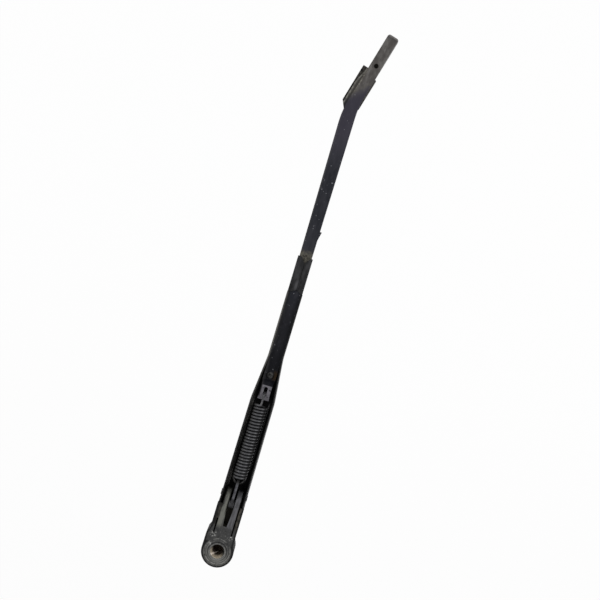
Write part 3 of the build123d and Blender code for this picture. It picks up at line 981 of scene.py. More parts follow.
    def dusty_plate(self, bench: Bench, colour: Socket, up: Socket) -> Socket:
        """Patches on the stop plate, and dust beside the bar, pale at its border and dark at the bend.

        Args:
            bench: Where the nodes are laid out.
            colour: The colour below.
            up: Mask of what looks up.

        Returns:
            The colour's socket.
        """
        on_plate = bench.rise(bench.length, self.plate_start)
        patches = bench.both(bench.rise(bench.length, self.patch_run), on_plate,
                             bench.mottle(self.patches))
        colour = bench.mix(patches, colour, self.patch)
        along, beside = bench.along_bar()
        reach = bench.math("ADD", bench.rise(along, self.dust_width), BAR_HALF)
        past = bench.math("SUBTRACT", bench.frayed(beside, self.dust_fray), reach)
        dust = bench.mix(bench.rise(along, self.dust_tones), self.bend_dust, self.edge_dust)
        crumbs = bench.both(bench.rise(past, self.crumb_run), bench.mottle(self.crumbs))
        dust = bench.mix(crumbs, dust, self.dust_rim)
        return bench.mix(bench.both(bench.fall(past, self.dust_edge), on_plate, up), colour, dust)

    def material(self) -> bpy.types.Material:
        """Build the finish: clouds of dullness, dust where the surface looks up, edges with wear and painted
        highlights.

        Returns:
            The finished material.
        """
        bench = Bench(self.name)
        up = bench.rise(bench.facing, self.looks_up)
        clouds = bench.mottle(self.clouds)
        colour = self.worn_edges(bench, self.trough(bench, clouds, up), up)
        colour = self.dusty_plate(bench, colour, up)
        rough = bench.ramp(clouds, 0.0, 1.0, *self.roughness)
        normal = bench.bump(bench.grain(self.grain), self.grain.depth)
        return bench.finish(colour, rough, normal, self.specular)


@dataclass(frozen=True)
class StripFinish(Finish):
    """Bare hook tab, blue-black painted run and a bar with wear down to grey-brown metal, with painted highlights
    on the run's left edge and on the bar's end and right edge.
    """

    name: str = "worn_blue_black"
    slot: str = "worn_strip"

    paint: Triple = (0.0110, 0.0118, 0.0165)
    dull: Triple = (0.023, 0.0235, 0.0295)
    near_black: Triple = (0.0068, 0.0068, 0.0090)
    edge: Triple = (0.046, 0.045, 0.047)
    bend: Triple = (0.043, 0.038, 0.054)
    tab: Triple = (0.128, 0.123, 0.136)
    tab_dark: Triple = (0.020, 0.019, 0.022)
    bar: Triple = (0.058, 0.053, 0.050)
    bar_light: Triple = (0.105, 0.099, 0.094)
    dirt: Triple = (0.088, 0.082, 0.064)
    pale: Triple = (0.36, 0.34, 0.29)
    rust: Triple = (0.052, 0.031, 0.013)
    chip: Triple = (0.26, 0.26, 0.28)
    # Pale tone of the scratches, and of the painted highlights on the bar's end and right edge
    rim: Triple = (0.155, 0.148, 0.142)

    looks_up: Step = Step(0.6, 0.9)
    clouds: Mottle = Mottle(0.009, 0.40, 0.64, detail=5.0, rough=0.62, stretch=(0.3, 1.0, 1.0))
    throat_run: Step = Step(CLASP_START - 0.030, CLASP_START + 0.002)
    throat_share: float = 0.8
    blotches: Mottle = Mottle(0.0026, 0.50, 0.66, 0.55, detail=5.0, rough=0.7, stretch=(0.5, 1.0, 1.0))
    # Where the painted highlight along the left edge lies
    edge_y: Step = Step(0.0043, 0.0052, fray=(0.004, 0.0006))
    edge_share: float = 0.8
    brush_y: Step = Step(0.0022, 0.0050, fray=(0.003, 0.0009))
    brush_marks: Mottle = Mottle(0.004, 0.38, 0.60, rough=0.65, stretch=(0.3, 1.0, 1.0))
    bend_run: Step = Step(0.325, 0.370, 0.55, fray=(0.008, 0.006))
    chips: Mottle = Mottle(0.0020, 0.69, 0.74, 0.55, detail=2.0, rough=0.5)

    wear_slant: float = 1.5
    wear_fray: Pair = (0.004, 0.004)
    wear_run: Step = Step(0.0085, 0.0265)
    bar_streaks: Mottle = Mottle(0.0045, 0.38, 0.66, detail=5.0, rough=0.65, stretch=(0.5, 1.0, 1.0))
    bar_scratches: Mottle = Mottle(0.0018, 0.62, 0.67, 0.45, detail=2.0, rough=0.5,
                                   stretch=(0.16, 0.6, 1.0))
    end_run: Step = Step(BAR_END - 0.0015, BAR_END - 0.0008, fray=(0.003, 0.0003))
    right_y: Step = Step(0.0003 - BAR_HALF, 0.0009 - BAR_HALF)
    right_run: Step = Step(0.036, 0.046)
    rim_share: float = 0.85
    # Band of painted shade just before the bar's end
    end_shade: Zone = Zone(BAR_END - 0.0030, BAR_END - 0.0020, 0.0004, 0.6, (0.003, 0.0003))
    dirt_line: Zone = Zone(0.0185, 0.0225, 0.001, 0.25)
    crumb_y: Step = Step(BAR_HALF - 0.0016, BAR_HALF - 0.0006)
    crumb_run: Zone = Zone(0.013, 0.036, 0.003)
    crumb_dirt: float = 0.40
    crumbs: Mottle = Mottle(0.0015, 0.48, 0.58, 0.35, detail=3.0)

    rust_run: Zone = Zone(RIVET_X - 0.003, RIVET_X + 0.004, 0.002, 0.75, (0.004, 0.002))
    rust_y: Step = Step(-0.0035, -0.0015)
    mouth_run: Zone = Zone(CLASP_END - 0.008, CLASP_END + 0.005, 0.002, fray=(0.003, 0.0015))
    mouth_crumbs: Mottle = Mottle(0.0024, 0.38, 0.60, 0.9, 0.25, rough=0.65)
    smears: Mottle = Mottle(0.0026, 0.30, 0.50)
    ear_run: Step = Step(TAB_END - 0.0115, TAB_END - 0.0090, fray=(0.002, 0.001))
    tab_y: Step = Step(0.0033, 0.0040, fray=(0.003, 0.0003))
    tab_run: Step = Step(TAB_END - 0.0004, TAB_END + 0.0004)
    tab_z: Step = Step(0.0095, 0.0107)

    grain: Grain = Grain(0.0007, 5.0, 0.6, 0.00005)
    roughness: Pair = (0.48, 0.62)
    specular: float = 0.16

    def painted_run(self, bench: Bench, up: Socket) -> Socket:
        """Blue-black paint with dull clouds, a left edge painted lighter as a highlight with brushed marks in the
        throat, and a few chips.

        Args:
            bench: Where the nodes are laid out.
            up: Mask of what looks up.

        Returns:
            The colour's socket.
        """
        colour = bench.mix(bench.mottle(self.clouds), self.paint, self.dull)
        in_throat = bench.fall(bench.length, self.throat_run)
        colour = bench.mix(bench.both(in_throat, self.throat_share), colour, self.near_black)
        colour = bench.mix(bench.mottle(self.blotches), colour, self.dull)
        brushed = bench.both(in_throat, bench.rise(bench.across, self.brush_y),
                             bench.mottle(self.brush_marks))
        # Painted highlight along the left edge, joined by brushed marks in the throat.
        rub_and_highlight = bench.either(bench.rise(bench.across, self.edge_y), brushed)
        colour = bench.mix(bench.both(rub_and_highlight, self.edge_share), colour, self.edge)
        colour = bench.mix(bench.rise(bench.length, self.bend_run), colour, self.bend)
        return bench.mix(bench.both(bench.mottle(self.chips), up), colour, self.chip)

    def worn_bar(self, bench: Bench, colour: Socket) -> Socket:
        """Bare metal past a slanted border at the bend, painted highlights on the end and the right edge with
        painted shade just before the end, and dust along the left edge.

        Args:
            bench: Where the nodes are laid out.
            colour: The colour below.

        Returns:
            The colour's socket.
        """
        along, beside = bench.along_bar()
        reach = bench.math("ADD", along, bench.both(beside, self.wear_slant))
        border = bench.frayed(reach, self.wear_fray)
        rub_and_highlight = bench.rise(border, self.wear_run)
        metal = bench.mix(bench.mottle(self.bar_streaks), self.bar, self.bar_light)
        colour = bench.mix(rub_and_highlight, colour, metal)
        colour = bench.mix(bench.both(rub_and_highlight, bench.mottle(self.bar_scratches)), colour, self.rim)
        # Painted highlight on the bar's end and right edge, and a band of painted shade just before the end.
        at_right = bench.both(bench.fall(beside, self.right_y), bench.rise(along, self.right_run))
        rims = bench.either(bench.rise(along, self.end_run), at_right)
        colour = bench.mix(bench.both(rims, self.rim_share), colour, self.rim)
        colour = bench.mix(bench.band(along, self.end_shade), colour, self.edge)
        colour = bench.mix(bench.band(border, self.dirt_line), colour, self.dirt)
        at_left = bench.both(bench.rise(beside, self.crumb_y), bench.band(along, self.crumb_run))
        colour = bench.mix(bench.both(at_left, self.crumb_dirt), colour, self.dirt)
        return bench.mix(bench.both(at_left, bench.mottle(self.crumbs)), colour, self.pale)

    def tab_and_dirt(self, bench: Bench, colour: Socket, up: Socket) -> Socket:
        """Bare tab, rust beside the rivet and dust in front of the clasp.

        Args:
            bench: Where the nodes are laid out.
            colour: The colour below.
            up: Mask of what looks up.

        Returns:
            The colour's socket.
        """
        by_rivet = bench.both(bench.band(bench.length, self.rust_run),
                              bench.fall(bench.across, self.rust_y))
        colour = bench.mix(by_rivet, colour, self.rust)
        mouth = bench.both(bench.band(bench.length, self.mouth_run), bench.mottle(self.mouth_crumbs), up)
        colour = bench.mix(mouth, colour, self.dirt)
        smears = bench.both(bench.mottle(self.smears), bench.fall(bench.across, self.tab_y))
        bright = bench.either(smears, bench.fall(bench.length, self.ear_run))
        tab = bench.mix(bright, self.tab_dark, self.tab)
        on_tab = bench.both(bench.fall(bench.length, self.tab_run), up,
                            bench.rise(bench.height, self.tab_z))
        return bench.mix(on_tab, colour, tab)

    def material(self) -> bpy.types.Material:
        """Build the finish: one zone after another along the strip, with ragged borders.

        Returns:
            The finished material.
        """
        bench = Bench(self.name)
        up = bench.rise(bench.facing, self.looks_up)
        colour = self.worn_bar(bench, self.painted_run(bench, up))
        colour = self.tab_and_dirt(bench, colour, up)
        grain = bench.grain(self.grain)
        rough = bench.ramp(grain, *GRAIN_SPAN, *self.roughness)
        return bench.finish(colour, rough, bench.bump(grain, self.grain.depth), self.specular)


@dataclass(frozen=True)
class CloudedFinish(Finish):
    """Two tones in clouds over a fine grain, for steel, plastic and dirt."""

    dark: Triple
    light: Triple
    roughness: Pair
    metallic: float = 0.0
    clouds: Mottle = Mottle(0.006, *CLOUD_SPAN)
    grain: Grain = Grain(0.0005, 4.0, 0.6, 0.00003)
    specular: float = 0.20

    def layers(self, bench: Bench, clouds: Socket) -> Socket:
        """Clouds of the light tone in the dark one."""
        return bench.mix(clouds, self.dark, self.light)

    def material(self) -> bpy.types.Material:
        """Build the finish: a share of the light tone by noise, and a bump by finer noise.

        Returns:
            The finished material.
        """
        bench = Bench(self.name)
        clouds = bench.mottle(self.clouds)
        rough = bench.ramp(clouds, 0.0, 1.0, *self.roughness)
        normal = bench.bump(bench.grain(self.grain), self.grain.depth)
        return bench.finish(self.layers(bench, clouds), rough, normal, self.specular, self.metallic)


@dataclass(frozen=True)
class CapFinish(CloudedFinish):
    """Dark plastic cap with rusty dust on the face that closes the bore."""

    name: str = "dusty_cap"
    slot: str = "bush_plastic"
    dark: Triple = (0.006, 0.006, 0.006)
    light: Triple = (0.014, 0.014, 0.013)
    roughness: Pair = (0.50, 0.70)
    clouds: Mottle = Mottle(0.005, *CLOUD_SPAN)
    grain: Grain = Grain(0.0006, 4.0, 0.6, 0.00004)
    dust: Triple = (0.300, 0.235, 0.180)
    rust: Triple = (0.090, 0.055, 0.035)
    dusting: Mottle = Mottle(0.0022, 0.42, 0.62, rough=0.65)
    looks_up: Step = Step(0.5, 0.9)

    def layers(self, bench: Bench, clouds: Socket) -> Socket:
        """Plastic all over, and dust in clouds where the face looks up.

        Args:
            bench: Where the nodes are laid out.
            clouds: Mask of the light tone.

        Returns:
            The colour's socket.
        """
        dust_and_light = bench.mix(bench.mottle(self.dusting), self.rust, self.dust)
        plastic = super().layers(bench, clouds)
        return bench.mix(bench.rise(bench.facing, self.looks_up), plastic, dust_and_light)


@dataclass(frozen=True)
class LinkFinish(CloudedFinish):
    """Clouded steel that is darker on its hub and towards the spring."""

    grime_and_shade: Triple = (0.012, 0.0115, 0.0105)
    far_end: Step = Step(0.0560, 0.0590, 0.85, fray=(0.003, 0.0010))
    hub: Step = Step(0.0440, 0.0465, 0.7)

    def layers(self, bench: Bench, clouds: Socket) -> Socket:
        """Clouds of two tones, darker at both ends."""
        darkened = bench.either(bench.rise(bench.length, self.far_end), bench.fall(bench.length, self.hub))
        return bench.mix(darkened, super().layers(bench, clouds), self.grime_and_shade)


@dataclass(frozen=True)
class WireFinish(Finish):
    """Dark spring wire, lighter on the outside of its coils from wear and painted highlight, with painted light on
    its left, painted shade on its right flank and a painted highlight line at its right side.

    The parts are shares of the wire's radius past the coil's, or of the coil's own radius.
    """

    pin: Triple
    line: Triple
    coil_r: float
    wire_r: float
    coil_start: float

    dark: Triple = (0.044, 0.044, 0.047)
    light: Triple = (0.088, 0.089, 0.093)
    # Paler tone laid on the left of the coils as painted light
    dust_and_light: Triple = (0.085, 0.085, 0.086)
    # Bright tone of the painted highlight line at the coils' right side
    rub_and_highlight: Triple = (0.400, 0.400, 0.410)
    stain: Triple = (0.060, 0.056, 0.050)
    grime_and_shade: Triple = (0.012, 0.0115, 0.0105)

    worn_lit_parts: Pair = (0.30, 0.98)
    left_parts: Pair = (0.40, 1.0)
    right_parts: Pair = (-0.95, -0.45)
    highlight_parts: Pair = (-0.60, -0.10)
    right_share: float = 0.6
    loop_share: float = 0.85
    clouds: Mottle = Mottle(0.007, 0.34, 0.62, 1.0, 0.45)
    stains: Mottle = Mottle(0.0035, 0.56, 0.68, 0.5, rough=0.65)

    grain: Grain = Grain(0.0004, 3.0, 0.6, 0.00002)
    roughness: Pair = (0.50, 0.36)
    specular: float = 0.35
    metallic: float = 0.25

    def of_coil(self, parts: Pair, share: float = 1.0) -> Step:
        """Step between two shares of the coil's radius."""
        return Step(parts[0] * self.coil_r, parts[1] * self.coil_r, share)

    def past_coil(self, side: float, parts: Pair) -> Step:
        """Step between two shares of the wire's radius, past the coil's radius on one side."""
        low, high = (side * self.coil_r + part * self.wire_r for part in parts)
        return Step(low, high)

    def material(self) -> bpy.types.Material:
        """Build the finish: lighter with the distance from the spring's own axis from wear and painted highlight,
        lighter on the left as painted light, darker on the right flank as painted shade, and stained.

        Returns:
            The finished material.
        """
        bench = Bench(self.name)
        ahead = bench.math("SUBTRACT", bench.length, self.pin[0])
        above = bench.math("SUBTRACT", bench.height, self.pin[2])
        lift = bench.math("SUBTRACT", bench.both(above, self.line[0]), bench.both(ahead, self.line[2]))
        # Wear and painted highlight: the outside of each coil is lighter, and its inside keeps the darker tone as
        # painted shade.
        worn_and_lit = bench.rise(bench.spread(lift, bench.across), self.past_coil(1.0, self.worn_lit_parts))
        clouds = bench.mottle(self.clouds)
        # Painted light: on the left the coils take one paler tone inside and out, lifting their shade.
        left = bench.rise(bench.across, self.of_coil(self.left_parts))
        shade = bench.mix(left, self.dark, self.dust_and_light)
        bright = bench.mix(left, self.light, self.dust_and_light)
        colour = bench.mix(bench.both(worn_and_lit, clouds), shade, bright)
        # Painted shade over the right flank of the coils.
        right = bench.fall(bench.across, self.of_coil(self.right_parts, self.right_share))
        colour = bench.mix(right, colour, self.grime_and_shade)
        colour = bench.mix(bench.mottle(self.stains), colour, self.stain)
        # Painted highlight: a bright line along the right side of the coils.
        rub_and_highlight = bench.fall(bench.across, self.past_coil(-1.0, self.highlight_parts))
        colour = bench.mix(rub_and_highlight, colour, self.rub_and_highlight)
        # Darker over the loop in the link's eye.
        loop = Step(self.coil_start - self.wire_r, self.coil_start + self.wire_r, self.loop_share)
        colour = bench.mix(bench.fall(ahead, loop), colour, self.grime_and_shade)
        rough = bench.ramp(clouds, self.clouds.base, self.clouds.share, *self.roughness)
        normal = bench.bump(bench.grain(self.grain), self.grain.depth)
        return bench.finish(colour, rough, normal, self.specular, self.metallic)


LINK_STEEL = LinkFinish("link_steel", "zinc_steel", (0.045, 0.045, 0.052), (0.118, 0.118, 0.128),
                        (0.42, 0.60), 0.10)
RIVET_STEEL = CloudedFinish("rivet_steel", "black_paint", (0.020, 0.020, 0.020), (0.075, 0.073, 0.070),
                            (0.37, 0.55), 0.10, Mottle(0.003, *CLOUD_SPAN))
BUSH_PLASTIC = CloudedFinish("dark_plastic", "bush_plastic", (0.006, 0.006, 0.006),
                             (0.013, 0.013, 0.012), (0.52, 0.70))
ROAD_DIRT = CloudedFinish("road_dirt", "worn_strip", (0.030, 0.028, 0.024), (0.088, 0.083, 0.068),
                          (0.77, 0.95), 0.0, Mottle(0.0022, *CLOUD_SPAN),
                          Grain(0.0006, 4.0, 0.6, 0.00025), 0.10)
# Near-black plug that stands for the shade in the blade hole
HOLE_SHADE = CloudedFinish("hole_shade_plug", "worn_strip", (0.006, 0.006, 0.005), (0.014, 0.013, 0.011),
                          (0.77, 0.95), 0.0, Mottle(0.0015, *CLOUD_SPAN),
                          Grain(0.0005, 4.0, 0.6, 0.00015), 0.08)


def add_piece(piece: bpy.types.Object, body: Body, finish: Finish, *nodes: str) -> None:
    """Dress a new piece, let it ride on a body and let it stand for CAD nodes.

    Args:
        piece: The new piece.
        body: The body that carries it.
        finish: Its finish.
        nodes: CAD nodes that it replaces.
    """
    finish.dress(piece)
    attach(piece, body.value)
    if nodes:
        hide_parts(*nodes)


@dataclass
class MountingHead:
    """The casting on the wiper spindle, with its cap, bushes, spring pin and serrated bore."""

    finish: CastFinish = field(default_factory=CastFinish)
    cap: CapFinish = field(default_factory=CapFinish)
    bore_foot_z: float = 0.0115
    bore_mouth_z: float = HEAD_TOP
    foot_r: float = 0.00425
    mouth_r: float = 0.0061
    teeth: int = 48
    points_per_tooth: int = 8
    tooth_depth: float = 0.00028
    sink: float = 0.00004
    mouth_gap: float = 0.0006
    levels: int = 7
    lowest_share: float = 0.04
    fade_run: float = 0.25
    fade_floor: float = 0.15

    def serrations(self) -> Array:
        """Toothed lining of the tapered bore.

        The inner radius at height z is the cone's radius less the tooth depth times
        (1 + cos(teeth t)) / 2, fading towards the mouth, and the outer radius is the cone's own,
        sunk a little into its wall.

        Returns:
            Grid of shape (around, section, 3), closed both ways.
        """
        around = self.points_per_tooth * self.teeth
        angle = np.linspace(0.0, 2.0 * np.pi, around, endpoint=False)[:, None]
        share = np.linspace(self.lowest_share, 1.0, self.levels)
        top_z = self.bore_mouth_z - self.mouth_gap
        height = self.bore_foot_z + share * (top_z - self.bore_foot_z)
        slope = (self.mouth_r - self.foot_r) / (self.bore_mouth_z - self.bore_foot_z)
        wall = self.foot_r + (height - self.bore_foot_z) * slope
        fade = smoothstep((1.0 - share) / self.fade_run) * (1.0 - self.fade_floor) + self.fade_floor
        tooth = 0.5 * (1.0 + np.cos(self.teeth * angle)) * fade[None, :]
        inner = wall[None, :] - self.tooth_depth * tooth
        outer = np.broadcast_to(wall + self.sink, inner.shape)
        radius = np.concatenate([inner, outer[:, ::-1]], axis=1)
        level = np.concatenate([height, height[::-1]])[None, :] + 0.0 * angle
        return np.stack([radius * np.cos(angle), radius * np.sin(angle), level], axis=-1)

    def build(self) -> None:
        """Make the lining and dress the casting and the pieces in its fork."""
        lining = new_piece("bore_serrations", self.serrations(), True, True)
        add_piece(lining, Body.HEAD, self.finish)
        nodes = frame["nodes"]
        self.finish.dress(nodes["mounting_head"])
        self.cap.dress(nodes["nut_cap"])
        BUSH_PLASTIC.dress(nodes["hinge_bush_left"])
        BUSH_PLASTIC.dress(nodes["hinge_bush_right"])
        LINK_STEEL.dress(nodes["spring_pin"])


@dataclass
class TensionSpring:
    """The spring from the link's eye to the strip's slotted tab, and the link itself."""

    wire_r: float = 0.00095
    coil_r: float = 0.00495
    turns: int = 24
    top_turn: float = 0.25
    pitch: float = 0.00255
    link_reach: float = 0.0173
    hook_x: float = 0.1347
    hook_z: float = 0.01125
    hook_bend_r: float = 0.0024
    hook_tail: float = 0.0046
    loop_points: int = 40
    points_per_turn: int = 64
    bend_points: int = 24
    spacing: float = 0.00030
    easing: float = 0.0008
    sides: int = 14

    def line(self) -> tuple[Array, Array]:
        """The link's pin and the direction from it to the hook."""
        pin = np.array(named("joints", "link_swing")["pos_m"], float)
        return pin, unit(np.array(named("joints", "spring_stretch")["axis"], float))

    def coil_ends(self) -> tuple[Array, Array]:
        """Ends of the coils on the spring's own axis.

        Returns:
            Where the coils start, and where they end.
        """
        pin, line = self.line()
        first = self.link_reach + self.coil_r
        return pin + first * line, pin + (first + self.turns * self.pitch) * line

    def centreline(self) -> tuple[Array, Array]:
        """Path of the wire: half loop in the eye, helix up to its top, straight run, bend and tail.

        The loop is a half circle in the plane of the line and Y. The helix has the radius's cosine
        across and its sine upwards, and ends a quarter turn past its last whole one. The bend is a
        quarter circle about the hook's centre.

        Returns:
            Points along the path and the outward direction at each.
        """
        line = self.line()[1]
        first = self.coil_ends()[0]
        side = np.array([0.0, 1.0, 0.0])
        up = np.array([-line[2], 0.0, line[0]])
        loop = np.linspace(np.pi, 0.0, self.loop_points, endpoint=False)
        loop_out = np.outer(-np.sin(loop), line) + np.outer(np.cos(loop), side)
        last_angle = 2.0 * np.pi * (self.turns + self.top_turn)
        angle = np.linspace(0.0, last_angle, self.points_per_turn * self.turns)
        coil_out = np.outer(np.cos(angle), side) + np.outer(np.sin(angle), up)
        coil = first + np.outer(self.pitch * angle / (2.0 * np.pi), line) + self.coil_r * coil_out
        turn = np.linspace(0.5 * np.pi, 0.0, self.bend_points)
        bend_out = np.stack([np.cos(turn), 0.0 * turn, np.sin(turn)], axis=-1)
        centre = np.array([self.hook_x - self.hook_bend_r, 0.0, self.hook_z])
        bend = centre + self.hook_bend_r * bend_out
        tail = np.array([[self.hook_x, 0.0, self.hook_z - self.hook_tail]])
        points = np.concatenate([first + self.coil_r * loop_out, coil, bend, tail])
        outward = np.concatenate([loop_out, coil_out, bend_out, bend_out[-1:]])
        return even_path(points, outward, self.spacing, self.easing)

    def build(self) -> None:
        """Make the wire as a round tube from the link's eye to the hook, and dress the link."""
        points, outward = self.centreline()
        wire = new_piece("spring_wire", tube(points, outward, self.wire_r, self.sides), False, True)
        pin, line = (tuple(float(part) for part in vector) for vector in self.line())
        finish = WireFinish("dark_wire", "spring_steel", pin, line, self.coil_r, self.wire_r,
                            self.link_reach + self.coil_r)
        finish.dress(wire)
        first, last = self.coil_ends()
        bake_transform(wire)
        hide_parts("tension_spring")
        LINK_STEEL.dress(frame["nodes"]["spring_link"])


@dataclass
class StripRivet:
    """Rivet with a punched dimple that holds the strip in the channel."""

    centre_x: float = RIVET_X
    shank_r: float = 0.0020
    head_r: float = 0.0029
    seat_z: float = STRIP_TOP
    top_z: float = 0.0058
    dimple_r: float = 0.0014
    dimple_depth: float = 0.0010
    lip_share: float = 1.1
    edge_share: float = 0.35
    dome_points: int = 12
    dimple_points: int = 14
    sides: int = 64
    sharp_angle: float = math.radians(40)

    def profile(self) -> Array:
        """Half section: flat foot, straight shank, domed head and a dimple.

        The dome is a quarter of an ellipse from the head's edge to the dimple's lip, and the
        dimple's depth follows (1 + cos) / 2 of the radius.

        Returns:
            Points of (radius, height), from the foot's middle to the dimple's bottom.
        """
        foot = np.array([[0.0, 0.0], [self.shank_r, 0.0], [self.shank_r, self.seat_z],
                         [self.head_r, self.seat_z]])
        turn = np.linspace(0.0, 0.5 * np.pi, self.dome_points)
        lip_r = self.dimple_r * self.lip_share
        dome_rise = self.edge_share + (1.0 - self.edge_share) * np.sin(turn)
        dome = np.stack([lip_r + (self.head_r - lip_r) * np.cos(turn),
                         self.seat_z + (self.top_z - self.seat_z) * dome_rise], axis=-1)
        share = np.linspace(1.0, 0.0, self.dimple_points)
        bowl = np.stack([self.dimple_r * share,
                         self.top_z - self.dimple_depth * 0.5 * (1.0 + np.cos(np.pi * share))], axis=-1)
        return np.concatenate([foot, dome, bowl])

    def build(self) -> None:
        """Make the rivet in place of its plain solid."""
        grid = turned(self.profile(), self.sides) + np.array([self.centre_x, 0.0, 0.0])
        rivet = new_piece("dimpled_rivet", grid, True, False)
        rivet.data.set_sharp_from_angle(angle=self.sharp_angle)
        add_piece(rivet, Body.ARM, RIVET_STEEL, "strip_rivet")


@dataclass(frozen=True)
class Wave:
    """One wave of a lumpy surface: its height, its turns along and across, and its phase."""

    height: float
    along: float
    across: float
    phase: float

    def at(self, u: Array, v: Array) -> Array:
        """Height times the sine of (along u + across v + phase)."""
        return self.height * np.sin(self.along * u + self.across * v + self.phase)


@dataclass
class DirtAndShadePlug:
    """Road dirt crust in the mouth of the clasp, and a dark plug in the blade hole that stands for painted shade.
    """

    hole_r: float = 0.00198
    hole_low: float = -0.0012
    hole_rim: float = 0.0006
    hole_dish: float = 0.0011
    plug_points: int = 10
    plug_sides: int = 40
    plug_sharp_angle: float = math.radians(50)
    notch_x: float = 0.2481
    notch_length: float = 0.0050
    crust_length: float = 0.0082
    seam_y: float = -0.0006
    seam_half: float = 0.0002
    mouth_half: float = 0.0043
    strip_top: float = STRIP_TOP
    crust_height: float = 0.0008
    crust_sink: float = 0.0005
    crust_rows: int = 60
    crust_columns: int = 50
    lump_mean: float = 0.62
    lumps: tuple[Wave, ...] = (Wave(0.16, 16.1, 4.0, 0.0), Wave(0.13, 9.3, -11.0, 1.0),
                               Wave(0.09, 29.0, 13.0, 0.5 * math.pi))

    def plug(self) -> Array:
        """Dark dished plug in the blade hole as painted shade, turned about the hole's axis.

        The dish's depth follows (1 + cos) / 2 of the radius.

        Returns:
            Grid of shape (around, profile, 3).
        """
        share = np.linspace(1.0, 0.0, self.plug_points)
        dish = np.stack([self.hole_r * share,
                         self.hole_rim - self.hole_dish * 0.5 * (1.0 + np.cos(np.pi * share))], axis=-1)
        foot = np.array([[0.0, self.hole_low], [self.hole_r, self.hole_low]])
        local = turned(np.concatenate([foot, dish]), self.plug_sides)
        mount = named("mounts", "blade_hole")
        axis = unit(np.array(mount["axis"], float))
        ahead = np.array([axis[2], 0.0, -axis[0]])
        turn = np.stack([ahead, np.cross(axis, ahead), axis])
        return local @ turn + np.array(mount["pos_m"])

    def crust(self) -> Array:
        """Lumpy crust on the strip, in the notch between the clasp's flaps and just past it.

        Its half width grows in a straight line from the notch's point to its mouth. The height is
        a dome, (1 - (2u - 1)^4)(1 - v^4), times waves of u and v, and its edge is sunk into the
        strip. The underside is the same grid at the sunk level.

        Returns:
            Grid of shape (along, round, 3), closed round the crust.
        """
        u = np.linspace(0.0, 1.0, self.crust_rows)[:, None]
        v = np.linspace(-1.0, 1.0, self.crust_columns)[None, :]
        opened = np.clip(u * self.crust_length / self.notch_length, 0.0, 1.0)
        half = self.seam_half + (self.mouth_half - self.seam_half) * opened
        dome = (1.0 - (2.0 * u - 1.0) ** 4) * (1.0 - v**4)
        lumpy = self.lump_mean + sum(wave.at(u, v) for wave in self.lumps)
        level = self.strip_top - self.crust_sink + (self.crust_height + self.crust_sink) * dome * lumpy
        x = self.notch_x + self.crust_length * u + 0.0 * v
        y = self.seam_y + half * v
        top = np.stack([x, y, level], axis=-1)
        foot = np.stack([x, y, self.strip_top - 2.0 * self.crust_sink + 0.0 * x], axis=-1)
        return np.concatenate([top, foot[:, ::-1]], axis=1)

    def build(self) -> None:
        """Make the plug and the crust on the arm."""
        # Dark plug in the blade hole as painted shade.
        plug = new_piece("hole_shade_plug", self.plug(), True, False)
        plug.data.set_sharp_from_angle(angle=self.plug_sharp_angle)
        add_piece(plug, Body.ARM, HOLE_SHADE)
        crust = new_piece("clasp_dirt", self.crust(), False, True)
        add_piece(crust, Body.ARM, ROAD_DIRT)


@dataclass
class Arm:
    """The folded channel with its strip, stop plate, rivets, dirt, and a dark shade plug in the blade hole."""

    paint: PaintFinish = field(default_factory=PaintFinish)
    strip: StripFinish = field(default_factory=StripFinish)
    rivet: StripRivet = field(default_factory=StripRivet)
    dirt: DirtAndShadePlug = field(default_factory=DirtAndShadePlug)

    def build(self) -> None:
        """Dress the CAD pieces, and make the dimpled rivet, the dirt and the shade plug."""
        nodes = frame["nodes"]
        self.paint.dress(nodes["arm_channel"])
        self.paint.dress(nodes["stop_plate"])
        self.strip.dress(nodes["arm_strip"])
        RIVET_STEEL.dress(nodes["hinge_rivet_left"])
        RIVET_STEEL.dress(nodes["hinge_rivet_right"])
        self.rivet.build()
        self.dirt.build()


@dataclass(frozen=True)
class SoftLamp:
    """Square soft lamp: its name, where it hangs, its power in watts and the length of its side."""

    name: str
    place: Triple
    power: float
    size: float

    def hang(self, target: Pair) -> None:
        """Make the lamp, and turn it to a plan point at Z = 0.

        Args:
            target: The point that it looks at.
        """
        data = bpy.data.lights.new(self.name, "AREA")
        data.energy = self.power
        data.size = self.size
        lamp = bpy.data.objects.new(self.name, data)
        lamp.location = self.place
        aim = np.array([*target, 0.0]) - np.array(self.place)
        pitch = math.atan2(math.hypot(aim[0], aim[1]), -aim[2])
        lamp.rotation_euler = (pitch, 0.0, math.atan2(aim[1], aim[0]) - 0.5 * math.pi)
        bpy.context.scene.collection.objects.link(lamp)


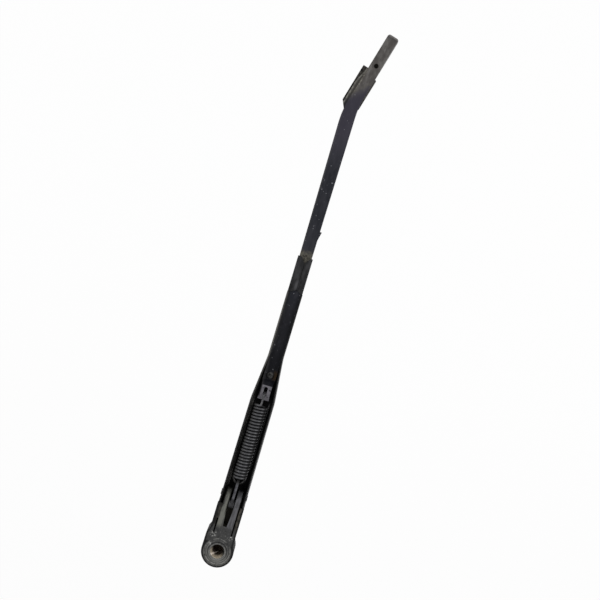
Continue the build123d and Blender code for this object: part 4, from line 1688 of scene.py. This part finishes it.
@dataclass
class Studio:
    """White floor far below, soft lamps, and a camera straight above."""

    floor_z: float = -0.42
    floor_r: float = 6.0
    floor_sides: int = 96
    floor_glow: float = 0.94
    white: Triple = (0.90, 0.90, 0.90)
    glow: Triple = (1.0, 1.0, 1.0)
    room: Triple = (0.24, 0.24, 0.245)
    sky: Triple = (0.97, 0.97, 0.97)
    lamps: tuple[SoftLamp, ...] = (SoftLamp("key", (0.62, -0.95, 0.92), 14.0, 0.9),
                                   SoftLamp("fill", (0.45, 0.98, 0.95), 11.5, 0.9))
    view_centre: Pair = (0.2173, -0.0058)
    view_height: float = 0.50
    view_width: float = 0.5108
    view_turn: float = math.radians(16.7)
    sensor: float = 36.0

    def floor_material(self) -> bpy.types.Material:
        """White to the camera and in reflections, and plain pale under the lamps.

        Returns:
            The floor's material.
        """
        bench = Bench("floor_white")
        bench.join(self.white, bench.shader.inputs["Base Color"])
        bench.shader.inputs["Roughness"].default_value = 1.0
        bench.shader.inputs["Specular IOR Level"].default_value = 0.0
        path = bench.nodes.new("ShaderNodeLightPath")
        seen = bench.either(path.outputs["Is Camera Ray"], path.outputs["Is Glossy Ray"])
        seen = bench.either(seen, path.outputs["Is Transmission Ray"])
        glow = bench.nodes.new("ShaderNodeEmission")
        bench.join(self.glow, glow.inputs["Color"])
        mixed = bench.nodes.new("ShaderNodeMixShader")
        bench.links.new(bench.both(seen, self.floor_glow), mixed.inputs[0])
        bench.links.new(bench.shader.outputs[0], mixed.inputs[1])
        bench.links.new(glow.outputs[0], mixed.inputs[2])
        bench.links.new(mixed.outputs[0], bench.nodes["Material Output"].inputs["Surface"])
        return bench.material

    def floor(self) -> None:
        """Round floor: radius times (cos t, sin t) at one height."""
        profile = np.array([[0.0, self.floor_z], [self.floor_r, self.floor_z]])
        floor = new_piece("floor", turned(profile, self.floor_sides), True, False)
        floor.data.materials.append(self.floor_material())

    def world(self) -> None:
        """Pale surroundings to the camera, and a grey room for light and reflections."""
        world = bpy.data.worlds.new("studio_room")
        world.use_nodes = True
        nodes, links = world.node_tree.nodes, world.node_tree.links
        path = nodes.new("ShaderNodeLightPath")
        mix = nodes.new("ShaderNodeMix")
        mix.data_type = "RGBA"
        mix.inputs[MIX_FIRST].default_value = (*self.room, 1.0)
        mix.inputs[MIX_SECOND].default_value = (*self.sky, 1.0)
        links.new(path.outputs["Is Camera Ray"], mix.inputs["Factor"])
        links.new(mix.outputs[MIX_RESULT], nodes["Background"].inputs["Color"])
        bpy.context.scene.world = world

    def camera(self) -> None:
        """Camera straight above the arm, turned about the upright axis as the photograph is."""
        data = bpy.data.cameras.new("camera")
        data.sensor_width = self.sensor
        data.lens = self.sensor * self.view_height / self.view_width
        camera = bpy.data.objects.new("camera", data)
        camera.location = (*self.view_centre, self.view_height)
        camera.rotation_euler = (0.0, 0.0, self.view_turn - 0.5 * math.pi)
        bpy.context.scene.collection.objects.link(camera)
        bpy.context.scene.camera = camera

    def build(self) -> None:
        """Set up floor, lamps, surroundings, camera and view settings."""
        self.floor()
        for lamp in self.lamps:
            lamp.hang(self.view_centre)
        self.world()
        self.camera()
        bpy.context.scene.view_settings.view_transform = "Standard"


def main() -> None:
    """Build every sub-assembly in order."""
    logging.basicConfig(level=logging.INFO, format="%(name)s %(message)s")
    for assembly in (MountingHead(), TensionSpring(), Arm(), Studio()):
        assembly.build()
        LOG.info("%s built", type(assembly).__name__)


if __name__ == "__main__":
    main()
